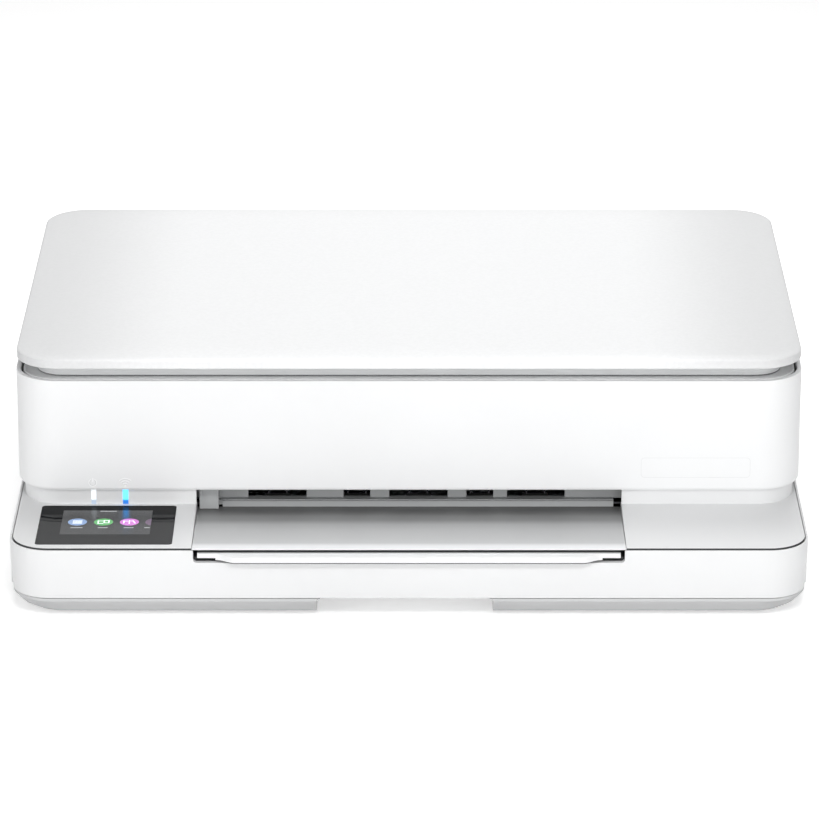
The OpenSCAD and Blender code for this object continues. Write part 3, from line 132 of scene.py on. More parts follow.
class Finish(NodeTree):
    """One material, built up from surfaces that are mixed by where they are on the part."""

    def __init__(self, name):
        self.material = bpy.data.materials.new(name)
        super().__init__(self.material)
        self.place = self.node("ShaderNodeTexCoord").outputs["Object"]

    def done(self, surface):
        self.feed(self.node("ShaderNodeOutputMaterial").inputs["Surface"], surface)
        return self.material

    # patterns

    def noise(self, grain, detail=3.0, stretch=(1, 1, 1)):
        """Noise whose lumps are about grain metres wide."""
        mapping = self.node("ShaderNodeMapping")
        self.feed(mapping.inputs["Vector"], self.place)
        mapping.inputs["Scale"].default_value = stretch
        made = self.node("ShaderNodeTexNoise")
        made.inputs["Scale"].default_value = 0.5 / grain
        made.inputs["Detail"].default_value = detail
        self.feed(made.inputs["Vector"], mapping.outputs[0])
        return made.outputs["Fac"]

    def pattern(self, kind, scale, **values):
        """A texture other than noise, of so many repeats a metre."""
        made = self.node(kind, **values)
        made.inputs["Scale"].default_value = scale
        self.feed(made.inputs["Vector"], self.place)
        return made.outputs

    def spread(self, value, lowest, highest):
        return self.map_range(value, *NOISE_RANGE, lowest, highest)

    def tones(self, value, dark, light):
        made = self.node("ShaderNodeValToRGB")
        self.feed(made.inputs["Fac"], value)
        for stop, place, colour in zip(made.color_ramp.elements, TONE_RANGE, (dark, light)):
            stop.position = place
            stop.color = (*colour, 1)
        return made.outputs["Color"]

    def bump(self, height, depth):
        made = self.node("ShaderNodeBump")
        made.inputs["Strength"].default_value = 1.0
        made.inputs["Distance"].default_value = depth
        self.feed(made.inputs["Height"], height)
        return made.outputs["Normal"]

    # masks by place

    def axis(self, index):
        made = self.node("ShaderNodeSeparateXYZ")
        self.feed(made.inputs[0], self.place)
        return made.outputs[index]

    def past(self, index, limit):
        """1 where the place along an axis is above the limit."""
        return self.math("GREATER_THAN", self.axis(index), limit)

    def short_of(self, index, limit):
        """1 where the place along an axis is below the limit."""
        return self.math("LESS_THAN", self.axis(index), limit)

    def both(self, a, b):
        return self.math("MULTIPLY", a, b)

    def either(self, a, b):
        return self.math("MAXIMUM", a, b)

    def upright(self):
        """1 on faces that stand upright."""
        parts = self.node("ShaderNodeSeparateXYZ")
        self.feed(parts.inputs[0], self.node("ShaderNodeNewGeometry").outputs["True Normal"])
        return self.math("LESS_THAN", self.math("ABSOLUTE", parts.outputs[2]), 0.5)

    def from_middle(self):
        """Distance to the left or right of the middle of the part."""
        return self.math("ABSOLUTE", self.axis(0))

    def outside(self, centre, radius):
        """1 where the distance from a shaft along x is above the radius."""
        squares = []
        for index, middle in zip((1, 2), centre):
            away = self.math("SUBTRACT", self.axis(index), middle)
            squares.append(self.math("MULTIPLY", away, away))
        return self.math("GREATER_THAN", self.math("SQRT", self.math("ADD", *squares)), radius)

    # surfaces

    def surface(self, colour, roughness, normal=None, metallic=0.0, **values):
        made = self.node("ShaderNodeBsdfPrincipled")
        self.feed(made.inputs["Base Color"], colour)
        self.feed(made.inputs["Roughness"], roughness)
        made.inputs["Metallic"].default_value = metallic
        if normal is not None:
            self.feed(made.inputs["Normal"], normal)
        for key, value in values.items():
            made.inputs[key.replace("_", " ")].default_value = value
        return made.outputs[0]

    def glowing(self, colour, roughness, strength):
        """A surface that also shines in its own colour."""
        made = self.surface(colour, roughness, Emission_Strength=strength)
        self.feed(made.node.inputs["Emission Color"], colour)
        return made

    def plastic(self, colour, roughness=0.42, grain=0.5 * MM, depth=0.02 * MM):
        """Moulded plastic: a fine spark-eroded grain, with slow changes of tone and gloss."""
        shade = self.tones(self.noise(60 * MM, 2.0), dim(colour, 0.97), colour)
        gloss = self.spread(self.noise(12 * MM), roughness - 0.04, roughness + 0.04)
        return self.surface(shade, gloss, self.bump(self.noise(grain, 4.0), depth))

    def metal(self, colour, roughness=0.3, along=0):
        """Metal with fine marks drawn out along one axis."""
        stretch = [1.0, 1.0, 1.0]
        stretch[along] = 0.03
        lines = self.noise(0.4 * MM, 3.0, stretch)
        shade = self.tones(self.noise(20 * MM), dim(colour, 0.86), colour)
        gloss = self.spread(lines, roughness - 0.07, roughness + 0.1)
        return self.surface(shade, gloss, self.bump(lines, 0.008 * MM), metallic=1.0)

    def rubber(self):
        grain = self.noise(0.3 * MM, 5.0)
        shade = self.tones(self.noise(10 * MM), dim(RUBBER_BLACK, 0.7), RUBBER_BLACK)
        return self.surface(shade, self.spread(grain, 0.7, 0.86), self.bump(grain, 0.04 * MM))


# ---------------------------------------------------------------- camera, floor and lights

def make_camera():
    data = bpy.data.cameras.new("camera")
    data.sensor_width = 36
    data.lens = 206.0
    data.clip_end = 30
    camera = bpy.data.objects.new("camera", data)
    camera.location = (0.0003, -2.5185, 0.9675)
    camera.rotation_euler = (math.radians(70.112), 0, 0)
    bpy.context.scene.collection.objects.link(camera)
    bpy.context.scene.camera = camera


def make_world():
    """Dim light from all sides, behind which the camera sees a pale backdrop."""
    world = bpy.data.worlds.new("studio")
    bpy.context.scene.world = world
    made = NodeTree(world)
    dim_light = made.node("ShaderNodeBackground")
    dim_light.inputs["Strength"].default_value = 0.3
    backdrop = made.node("ShaderNodeBackground")
    backdrop.inputs["Strength"].default_value = 1.0
    both = made.mix(made.seen_directly(), dim_light.outputs[0], backdrop.outputs[0])
    made.feed(made.node("ShaderNodeOutputWorld").inputs["Surface"], both)


def make_floor():
    """Wide pale floor that keeps the shadow and shows as the white background."""
    bm = bmesh.new()
    bmesh.ops.create_grid(bm, x_segments=8, y_segments=8, size=9)
    made = Finish("floor")
    diffuse = made.node("ShaderNodeBsdfDiffuse")
    diffuse.inputs["Color"].default_value = (0.86, 0.86, 0.86, 1)
    glow = made.node("ShaderNodeEmission")
    glow.inputs["Color"].default_value = (0.48, 0.48, 0.48, 1)
    made.feed(glow.inputs["Strength"], made.seen_directly())
    add = made.node("ShaderNodeAddShader")
    made.feed(add.inputs[0], diffuse.outputs[0])
    made.feed(add.inputs[1], glow.outputs[0])
    floor = new_object("floor", bm, made.done(add.outputs[0]))


# name, place, what it is aimed at, width and height, power in watts
LAMPS = (
    ("key", (0.1, -2.2, 0.66), (0, 0, 0.08), (1.8, 0.5), 15.5),
    ("front", (0.15, -1.5, 1.45), (0, -0.1, 0.08), (0.7, 0.3), 13.3),
    ("left", (-1.6, -1.3, 0.45), (-0.1, 0, 0.08), (0.3, 0.8), 6),
    ("right", (1.6, -1.3, 0.45), (0.1, 0, 0.08), (0.3, 0.8), 2.6),
    ("top", (0.05, 0.45, 1.1), (0, 0.05, 0.1), (0.8, 0.6), 7.6),
    ("high", (0.1, -0.5, 1.9), (0, -0.1, 0.08), (0.8, 0.5), 1.5),
)


def make_lamps():
    for name, place, aim, size, power in LAMPS:
        data = bpy.data.lights.new(name, "AREA")
        data.shape = "RECTANGLE"
        data.size, data.size_y = size
        data.energy = power
        lamp = bpy.data.objects.new(name, data)
        lamp.location = place
        lamp.rotation_euler = (Vector(aim) - Vector(place)).to_track_quat("-Z", "Y").to_euler()
        bpy.context.scene.collection.objects.link(lamp)


# ---------------------------------------------------------------- colours

def dim(colour, share):
    return [part * share for part in colour]


WHITE = (0.84, 0.845, 0.85)
BASE_WHITE = (0.785, 0.79, 0.795)
DECK_WHITE = (0.75, 0.755, 0.76)
FRAME_PALE = (0.83, 0.835, 0.84)
LINER_PALE = (0.74, 0.75, 0.755)
PALE = (0.72, 0.73, 0.735)
SKIRT_GREY = (0.56, 0.565, 0.57)
GREY = (0.42, 0.43, 0.435)
# painted shade for the foot of the lid's liner
PAINTED_LINER_SHADE = (0.12, 0.122, 0.125)
# painted shade on the extender's grip and in its slot
PAINTED_SLOT_SHADE = (0.09, 0.091, 0.093)
GUIDE_DARK = (0.05, 0.055, 0.06)
# painted shade in the seam round the deck
PAINTED_SEAM_SHADE = (0.05, 0.052, 0.055)
# painted shade: the star wheels are darkened to stay dark in the shade behind the exit windows
STAR_DARK = (0.045, 0.046, 0.05)
SHELF_DARK = (0.03, 0.031, 0.033)
CARRIAGE_DARK = (0.03, 0.032, 0.036)
DARK = (0.022, 0.023, 0.025)
RUBBER_BLACK = (0.022, 0.022, 0.023)
SUPPLY_BLACK = (0.018, 0.018, 0.019)
STEEL = (0.56, 0.57, 0.58)
GROUND_STEEL = (0.66, 0.67, 0.68)
# steel darkened as painted shade: the exit roller's shaft lies in the shade behind the exit windows
PAINTED_SHADE_STEEL = (0.05, 0.05, 0.055)
SCREW_STEEL = (0.3, 0.3, 0.31)
BRASS = (0.55, 0.4, 0.16)


# ---------------------------------------------------------------- finishes of single nodes

LID_PAINTED_SHADE = (120 * MM, 205 * MM)    # between these distances from the middle, painted shade deepens the lid's tone towards its left and right
LINER_FOOT = 0.5 * MM               # painted shade: a dark line along the foot of the lid's liner, standing in for the shadow gap above the scanner deck
LIP_FOOT = 1.25 * MM                # painted shade on the grip's lower edge, up to this height above the lowest point of the extender
LIP_TOP = 6.3 * MM                  # what lies behind this much of the grip's top is in the slot
SLOT_SHADE = 3.5 * MM               # strip of painted shade on the extender behind the grip
GLASS_PAINTED_REFLECTION = (42.5 * MM, 45 * MM)  # behind this part of its depth the display glass reflects less: painted reflection of the shaded neck
LIGHT_FADE = (0.5 * MM, 4.5 * MM)   # heights above the deck between which the light guides fade
SEAM_INSET = 3 * MM                 # the deck's seam starts this far outside the recess
SEAM_DEPTH = 0.4 * MM               # the seam's front wall, as a depth
SEAM_TOP = 0.04 * MM                # the seam starts this far below the deck's face
SHAFT_SLACK = 0.15 * MM             # a roller's rubber starts this far outside its shaft
GLASS_IOR = 1.45

# share of the way from the rear to the front of the ramp, and its tone there: painted shade deepening
# towards the rear, and a painted highlight on the front lip
RAMP_PAINTED_SHADE_AND_HIGHLIGHT = ((0, 0.09), (0.1, 0.13), (0.25, 0.28), (0.35, 0.31), (0.46, 0.5), (0.6, 0.54), (0.8, 0.54),
              (0.915, 0.56), (0.94, 0.66), (0.97, 0.76), (1, 0.82))


def lid_white(made):
    """White with the fine leather-like speckle of the lid, and painted shade that makes it a little deeper
    towards its left and right.
    """
    speckle = made.noise(1.1 * MM, 5.0)
    middle_tone = made.tones(speckle, dim(WHITE, 0.965), WHITE)
    # painted shade towards the lid's left and right
    painted_side_shade = made.tones(speckle, dim(WHITE, 0.79), dim(WHITE, 0.82))
    share = made.map_range(made.from_middle(), *LID_PAINTED_SHADE, interpolation_type="SMOOTHSTEP")
    gloss = made.spread(speckle, 0.42, 0.56)
    return made.surface(made.blend(share, middle_tone, painted_side_shade), gloss, made.bump(speckle, 0.06 * MM))


def liner_pale(made):
    """Pale liner whose foot, close to the scanner deck, has a dark line of painted shade, standing in for
    the shadow gap above the deck.
    """
    pale = made.plastic(LINER_PALE, 0.5, 0.8 * MM, 0.04 * MM)
    # painted shade along the liner's foot
    foot = made.both(made.short_of(2, low("lid_liner").z + LINER_FOOT), made.upright())
    return made.mix(foot, pale, made.plastic(PAINTED_LINER_SHADE, 0.6))


def extender_white(made):
    """White extender with painted shade on the foot of its grip and on a strip behind the grip, where the
    slot is shaded.
    """
    corner = low("tray_extender")
    white = made.plastic(WHITE, 0.4, 0.6 * MM, 0.025 * MM)
    # painted shade: the grip's foot and a strip behind the grip
    foot = made.both(made.short_of(2, corner.z + LIP_FOOT), made.short_of(1, low("tray_front").y + 1 * MM))
    slot = made.both(made.past(1, corner.y + LIP_TOP), made.short_of(1, corner.y + LIP_TOP + SLOT_SHADE))
    return made.mix(made.either(foot, slot), white, made.plastic(PAINTED_SLOT_SHADE, 0.5))


def black_glass(made):
    """Near-black glass; its rear part reflects less, a painted reflection of the shaded neck, and so looks
    darker still.
    """
    smear = made.spread(made.noise(20 * MM), 0.03, 0.07)
    colour = made.tones(made.noise(40 * MM), (0.006, 0.007, 0.008), (0.011, 0.011, 0.012))
    normal = made.bump(made.noise(10 * MM), 0.002 * MM)
    front = made.surface(colour, smear, normal, IOR=GLASS_IOR, Specular_IOR_Level=0.16)
    # weaker reflection at the rear: painted reflection of the shaded neck
    rear = made.surface(colour, smear, normal, IOR=GLASS_IOR, Specular_IOR_Level=0.03)
    start, end = (glass_low.y + depth for depth in GLASS_PAINTED_REFLECTION)
    return made.mix(made.map_range(made.axis(1), start, end), front, rear)


def clear_glass(made):
    tint = made.tones(made.noise(80 * MM), (0.86, 0.9, 0.89), (0.9, 0.93, 0.92))
    gloss = made.spread(made.noise(30 * MM), 0.01, 0.04)
    return made.surface(tint, gloss, Transmission_Weight=0.92, IOR=GLASS_IOR)


def encoder_film(made):
    """Clear film with fine dark lines across it."""
    lines = made.pattern("ShaderNodeTexWave", 900, wave_type="BANDS", bands_direction="X")["Fac"]
    colour = made.tones(lines, (0.05, 0.05, 0.05), (0.75, 0.77, 0.78))
    gloss = made.spread(made.noise(10 * MM), 0.15, 0.25)
    return made.surface(colour, gloss, Transmission_Weight=0.4, Alpha=0.8)


def light_guides(made):
    """The left guide shines white, the right one blue, each fading towards its foot."""
    start, end = (deck_top + height for height in LIGHT_FADE)
    fade = made.map_range(made.axis(2), start, end)
    gloss = made.spread(made.noise(4 * MM), 0.25, 0.4)
    white = made.glowing(made.tones(fade, (0.38, 0.45, 0.55), (0.9, 0.96, 1.0)), gloss, 0.45)
    blue = made.glowing(made.tones(fade, (0.01, 0.07, 0.24), (0.07, 0.4, 1.0)), gloss, 2.6)
    return made.mix(made.past(0, light_mid), white, blue)


def deck_white(made):
    """White deck; its upright outer edge, in the seam inside the rim, is dark with painted shade."""
    white = made.plastic(DECK_WHITE, 0.46, 0.7 * MM, 0.04 * MM)
    # painted shade on the deck's upright edge inside the seam
    side = made.math("GREATER_THAN", made.from_middle(), high("output_ramp").x + SEAM_INSET)
    front = made.short_of(1, low("deck_cover").y + SEAM_DEPTH)
    wall = made.both(made.short_of(2, deck_top - SEAM_TOP), made.upright())
    return made.mix(made.both(made.either(side, front), wall), white, made.plastic(PAINTED_SEAM_SHADE, 0.6))


def ramp_white(made):
    """White ramp with a painted highlight along its front lip and painted shade that deepens its tone
    towards the rear.
    """
    # painted shade towards the rear and painted highlight at the front lip
    forward = made.map_range(made.axis(1), low("output_ramp").y + 3 * MM, high("output_ramp").y, 1.0, 0.0)
    steps = made.node("ShaderNodeValToRGB")
    made.feed(steps.inputs["Fac"], forward)
    stops = steps.color_ramp.elements
    for i, (place, tone) in enumerate(RAMP_PAINTED_SHADE_AND_HIGHLIGHT):
        last = i == len(RAMP_PAINTED_SHADE_AND_HIGHLIGHT) - 1
        stop = stops[i] if i == 0 or last else stops.new(place)
        stop.color = (tone, tone * 1.01, tone * 1.02, 1)
    gloss = made.spread(made.noise(12 * MM), 0.38, 0.48)
    return made.surface(steps.outputs["Color"], gloss, made.bump(made.noise(0.7 * MM, 4.0), 0.03 * MM))


def circuit_board(made):
    """Green board with lighter tracks; the parts on it are dark, and the socket at the rear is metal."""
    tracks = made.pattern("ShaderNodeTexVoronoi", 320, feature="DISTANCE_TO_EDGE", distance="MANHATTAN")
    line = made.math("LESS_THAN", tracks["Distance"], 0.06)
    green = made.blend(line, (0.012, 0.11, 0.045, 1), (0.05, 0.24, 0.11, 1))
    board = made.surface(green, made.spread(made.noise(10 * MM), 0.3, 0.45))
    board_top = low("main_board").z + 1.7 * MM
    socket = made.past(1, high("main_board").y - 18 * MM)
    parts = made.mix(socket, made.plastic(DARK), made.metal(STEEL, along=1))
    return made.mix(made.past(2, board_top), board, parts)


def ribbon_cable(made):
    """Flat cable: pale film with fine conductors along its length."""
    lines = made.pattern("ShaderNodeTexWave", 300, wave_type="BANDS", bands_direction="Y")["Fac"]
    colour = made.tones(lines, (0.5, 0.48, 0.42), (0.75, 0.75, 0.74))
    return made.surface(colour, made.spread(made.noise(10 * MM), 0.3, 0.4), made.bump(lines, 0.08 * MM))


def foam(made):
    cells = made.pattern("ShaderNodeTexVoronoi", 1400)["Distance"]
    colour = made.tones(made.noise(50 * MM), (0.845, 0.845, 0.835), (0.865, 0.865, 0.855))
    return made.surface(colour, made.spread(made.noise(2 * MM), 0.8, 0.95), made.bump(cells, 0.15 * MM))


def roller(made, node, shaft_radius, steel=STEEL, gear_until=None):
    """Rubber sleeves on a steel shaft, with white gears or pulleys at the left."""
    sleeve = made.outside(shaft_of(node), shaft_radius + SHAFT_SLACK)
    body = made.mix(sleeve, made.metal(steel), made.rubber())
    if gear_until is None:
        return body
    return made.mix(made.past(0, gear_until), made.plastic(PALE, 0.35), body)


def cartridge(made, node, *band_colours):
    """Dark cartridge with coloured bands side by side across its top."""
    lowest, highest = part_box(node)
    width = (highest.x - lowest.x) / len(band_colours)
    bands = made.plastic(band_colours[0], 0.3)
    for i, colour in enumerate(band_colours[1:], 1):
        bands = made.mix(made.past(0, lowest.x + i * width), bands, made.plastic(colour, 0.3))
    return made.mix(made.past(2, highest.z - 1.8 * MM), made.plastic(DARK, 0.4), bands)


# ---------------------------------------------------------------- which node has which finish

# name: the nodes that wear it, colour, roughness, and the width and depth of its grain in mm
MOULDED = {
    "shell_white": ("upper_shell", WHITE, 0.4, 0.6, 0.025),
    "base_white": ("tray_front base_shell rear_door", BASE_WHITE, 0.4, 0.6, 0.025),
    "button_white": ("power_button wireless_button", PALE, 0.35, 0.5, 0.02),
    "tray_pale": ("tray_bin", PALE, 0.45, 0.8, 0.03),
    "shelf_dark": ("tray_cover", SHELF_DARK, 0.6, 0.8, 0.03),
    "skirt_grey": ("bottom_case", SKIRT_GREY, 0.55, 0.8, 0.05),
    "deck_grey": ("scanner_deck", FRAME_PALE, 0.5, 0.8, 0.04),
    "guide_grey": ("exit_guide", GREY, 0.5, 0.6, 0.03),
    "frame_dark": ("engine_frame platen pinch_holder service_station pick_arm hinge_brackets scanner_pan "
                   "scan_bar display_module", DARK, 0.5, 0.8, 0.04),
    "guide_dark": ("left_width_guide right_width_guide length_guide", GUIDE_DARK, 0.45, 0.5, 0.02),
    "carriage_dark": ("carriage", CARRIAGE_DARK, 0.42, 0.5, 0.02),
    "supply_dark": ("power_supply", SUPPLY_BLACK, 0.55, 1.0, 0.06),
    "gear_white": ("idler_gear guide_pinion idler_pulley pinch_rollers", PALE, 0.35, 0.5, 0.02),
    # star wheels darkened as painted shade behind the exit windows
    "star_dark": ("star_wheels", STAR_DARK, 0.55, 0.5, 0.02),
}

# name: the nodes that wear it, how its surface is made, and what that needs
OTHER = {
    "lid_white": ("lid_cover", lid_white),
    "liner_pale": ("lid_liner", liner_pale),
    "extender_white": ("tray_extender", extender_white),
    "deck_white": ("deck_cover", deck_white),
    "ramp_white": ("output_ramp", ramp_white),
    "black_glass": ("display_glass", black_glass),
    "clear_glass": ("scanner_glass", clear_glass),
    "light_guides": ("light_pipes", light_guides),
    "encoder_film": ("encoder_strip", encoder_film),
    "circuit_board": ("main_board", circuit_board),
    "ribbon_cable": ("ribbon_cable", ribbon_cable),
    "foam": ("lid_pad", foam),
    "sheet_steel": ("chassis_rail drive_motors", Finish.metal, STEEL),
    "ground_steel": ("guide_rod scan_rod pick_shaft lift_pins motor_pulley",
                     Finish.metal, GROUND_STEEL, 0.18),
    "brass": ("motor_pinion", Finish.metal, BRASS),
    "rubber": ("rubber_feet carriage_belt feed_belt separation_pad", Finish.rubber),
    "feed_finish": ("feed_roller", roller, "feed_roller", 2.5 * MM, STEEL, gear_end),
    # the exit roller's shaft is darkened steel: painted shade behind the exit windows
    "exit_finish": ("exit_roller", roller, "exit_roller", 2.5 * MM, PAINTED_SHADE_STEEL, gear_end),
    "turn_finish": ("turn_roller", roller, "turn_roller", 2.5 * MM, STEEL, pulley_end),
    "pick_finish": ("pick_roller", roller, "pick_roller", 1.5 * MM),
    "black_cartridge": ("black_cartridge", cartridge, "black_cartridge", (0.03, 0.03, 0.03)),
    "colour_cartridge": ("colour_cartridge", cartridge, "colour_cartridge",
                         (0.0, 0.35, 0.6), (0.6, 0.02, 0.25), (0.75, 0.6, 0.02)),
}


def moulded(name, colour, roughness, grain, depth):
    made = Finish(name)
    return made.done(made.plastic(colour, roughness, grain * MM, depth * MM))


def dress(material, names):
    for name in names.split():
        nodes[name].data.materials.clear()
        nodes[name].data.materials.append(material)


def dress_all():
    for name, (worn_by, *values) in MOULDED.items():
        dress(moulded(name, *values), worn_by)
    for name, (worn_by, surface, *values) in OTHER.items():
        made = Finish(name)
        dress(made.done(surface(made, *values)), worn_by)


# ---------------------------------------------------------------- soft edges on the moulded nodes

SOFT_NODES = ("base_shell", "tray_front", "upper_shell", "deck_cover", "tray_extender", "exit_guide",
              "output_ramp", "bottom_case", "scanner_deck", "rear_door", "tray_cover", "display_glass")


def soften(name, width, segments=2):
    """Rounds the node's sharp edges a little, as a mould does."""
    node = nodes[name]
    weld = node.modifiers.new("weld", "WELD")
    weld.merge_threshold = 0.002 * MM
    flat = node.modifiers.new("flat", "DECIMATE")
    flat.decimate_type = "DISSOLVE"
    flat.angle_limit = math.radians(0.5)
    edge = node.modifiers.new("edge", "BEVEL")
    edge.width = width
    edge.segments = segments
    edge.limit_method = "ANGLE"
    edge.angle_limit = math.radians(32)
    edge.use_clamp_overlap = True
    even = node.modifiers.new("even", "WEIGHTED_NORMAL")
    even.keep_sharp = False
    even.weight = 60


# ---------------------------------------------------------------- outlines of drawn pieces, in mm

def on_circle(cx, cy, r, angle):
    return (cx + r * math.cos(angle), cy + r * math.sin(angle))


def circle_outline(cx, cy, r, steps=48):
    return [on_circle(cx, cy, r, 2 * math.pi * i / steps) for i in range(steps)]


def rounded_outline(cx, cy, w, h, r, steps=6):
    points = []
    for corner, (sx, sy) in enumerate(((1, 1), (-1, 1), (-1, -1), (1, -1))):
        for i in range(steps + 1):
            angle = math.pi / 2 * (corner + i / steps)
            points.append(on_circle(cx + sx * (w / 2 - r), cy + sy * (h / 2 - r), r, angle))
    return points


def band(cx, cy, r, t, start, end, steps=24):
    """Arc of a ring of width t, as an outline; angles in degrees."""
    angles = [math.radians(start + (end - start) * i / steps) for i in range(steps + 1)]
    outer = [on_circle(cx, cy, r + t / 2, a) for a in angles]
    inner = [on_circle(cx, cy, r - t / 2, a) for a in angles]
    return outer + inner[::-1]


def stroke(points, t):
    """Straight strokes of width t between points, one outline each."""
    made = []
    for (x0, y0), (x1, y1) in zip(points, points[1:]):
        length = math.hypot(x1 - x0, y1 - y0)
        nx, ny = (y0 - y1) / length * t / 2, (x1 - x0) / length * t / 2
        ex, ey = (x1 - x0) / length * t / 2, (y1 - y0) / length * t / 2
        made.append([(x0 - ex + nx, y0 - ey + ny), (x0 - ex - nx, y0 - ey - ny),
                     (x1 + ex - nx, y1 + ey - ny), (x1 + ex + nx, y1 + ey + ny)])
    return made


def frame_outline(outer, inner):
    """Closed frame between two outlines with as many points, as quads."""
    count = len(outer)
    return [[outer[i], outer[(i + 1) % count], inner[(i + 1) % count], inner[i]] for i in range(count)]


def clipped(outline, limit):
    """The part of an outline left of a limit in x."""
    kept = []
    for (x0, y0), (x1, y1) in zip(outline, outline[1:] + outline[:1]):
        if x0 <= limit:
            kept.append((x0, y0))
        if (x0 - limit) * (x1 - limit) < 0:
            share = (limit - x0) / (x1 - x0)
            kept.append((limit, y0 + share * (y1 - y0)))
    return kept


def on_glass(u, v, h):
    """A point of the display glass, from mm across it, along it and above it."""
    return (u * MM, v * MM, glass_face + h * MM)


def on_shell(u, v, h):
    """A point of the shell's front, from mm across it, up it and before it."""
    return (u * MM, shell_low.y - h * MM, v * MM)


# ---------------------------------------------------------------- new pieces

PIECE_FOOT = 0.005    # mm that a flat piece's rear side stands clear of the surface under it


def new_object(name, bm, material):
    mesh = bpy.data.meshes.new(name)
    bm.to_mesh(mesh)
    mesh.materials.append(material)
    made = bpy.data.objects.new(name, mesh)
    bpy.context.scene.collection.objects.link(made)
    return made


def add_piece(name, bm, material, body):
    bmesh.ops.recalc_face_normals(bm, faces=bm.faces)
    made = new_object(name, bm, material)
    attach(made, body)


def wall_between(bm, first, second):
    """Faces between two closed rows of as many points."""
    count = len(first)
    for i in range(count):
        j = (i + 1) % count
        bm.faces.new((first[i], first[j], second[j], second[i]))


def flat_piece(name, outlines, place, thick, material, body):
    """Flat piece of the given outlines, thick millimetres proud of its surface."""
    bm = bmesh.new()
    for outline in outlines:
        top = [bm.verts.new(place(u, v, thick)) for u, v in outline]
        foot = [bm.verts.new(place(u, v, PIECE_FOOT)) for u, v in outline]
        bm.faces.new(top)
        bm.faces.new(foot[::-1])
        wall_between(bm, foot, top)
    add_piece(name, bm, material, body)


def lit_patch(name, outlines, thick, colour, glow):
    """Lit piece on the display: even colour with a faint pixel grain."""
    made = Finish(name)
    pixels = made.noise(0.2 * MM, 1.0)
    shade = made.tones(pixels, dim(colour, 0.93), colour)
    material = made.done(made.glowing(shade, made.spread(pixels, 0.2, 0.3), glow))
    flat_piece(name, outlines, on_glass, thick, material, "base")


# ---------------------------------------------------------------- what the display shows

GLASS_X, GLASS_Y = 1000 * glass_low.x, 1000 * glass_low.y
SCREEN = (GLASS_X + 12.3, GLASS_Y + 14.65, GLASS_X + 61.1, GLASS_Y + 50.55)    # left, front, right, rear
DISC_X = (GLASS_X + 20.9, GLASS_X + 35.1, GLASS_X + 49.2)
DISC_Y = GLASS_Y + 33.0
DISC_R = 5.2
MORE_X = GLASS_X + 63.0                         # fourth disc, cut off by the screen's right edge
LABEL_Y = GLASS_Y + 24.6
LABELS = (*zip(DISC_X, (6.6, 5.4, 5.4)), (GLASS_X + 59.2, 3))    # middle and width of each bar
HANDLE = (GLASS_X + 36.9, GLASS_Y + 49.3)       # short bar near the rear edge of the screen
DISCS = {"menu_disc": (0.2, 0.3, 0.5), "copy_disc": (0.09, 0.36, 0.11), "scan_disc": (0.54, 0.17, 0.52)}
GLYPH_LINE = 0.6

# strokes from the middle of their disc: two sheets, one behind the other, and a sheet beside a lid
SHEETS = (((-2.9, -2), (-2.9, 1.6), (-0.2, 1.6)), ((-2.9, -2), (-0.4, -2)),
          ((0.4, -1.2), (0.4, 2.2), (2.9, 2.2), (2.9, -1.2), (0.4, -1.2)))
SHEET_AND_LID = (((-3, -1.6), (-3, 1.4), (-0.6, 1.4)), ((0, -2.2), (0, 2.2)),
                 ((0.8, 1.6), (2, 1.6), (3.2, -1.8)))


def make_display():
    left, front, right, rear = SCREEN
    field = rounded_outline((left + right) / 2, (front + rear) / 2, right - left, rear - front, 0.4)
    lit_patch("screen_field", [field], 0.015, (0.016, 0.017, 0.018), 0.9)
    for x, (name, tint) in zip(DISC_X, DISCS.items()):
        lit_patch(name, [circle_outline(x, DISC_Y, DISC_R)], 0.03, tint, 0.62)
    more = clipped(circle_outline(MORE_X, DISC_Y, DISC_R), right)
    lit_patch("more_disc", [more], 0.03, (0.14, 0.09, 0.15), 0.4)
    glyphs = [rounded_outline(DISC_X[0], DISC_Y + dy, 5.2, 0.9, 0.2) for dy in (-1.7, 0, 1.7)]
    for x, strokes in zip(DISC_X[1:], (SHEETS, SHEET_AND_LID)):
        for points in strokes:
            glyphs += stroke([(x + u, DISC_Y + v) for u, v in points], GLYPH_LINE)
    lit_patch("screen_glyphs", glyphs, 0.045, (0.85, 0.88, 0.9), 0.75)
    labels = [rounded_outline(x, LABEL_Y, width, 1.1, 0.4) for x, width in LABELS]
    lit_patch("screen_labels", labels, 0.03, (0.35, 0.36, 0.37), 0.5)
    lit_patch("screen_handle", [rounded_outline(*HANDLE, 9.2, 0.8, 0.35)], 0.03, (0.4, 0.42, 0.43), 0.6)


# ---------------------------------------------------------------- marks on the shell

SHELL_FOOT = 1000 * shell_low.z
POWER_X, POWER_Z = 1000 * low("light_pipes").x + 1.1, SHELL_FOOT + 4.4
WIRELESS_X, WIRELESS_Z = 1000 * high("light_pipes").x - 1.4, SHELL_FOOT + 2.4
PLATE_X, PLATE_Z = 157.2, SHELL_FOOT + 13.2
PLATE_W, PLATE_H, PLATE_R = 60, 11.6, 2
PLATE_LINE = 0.25


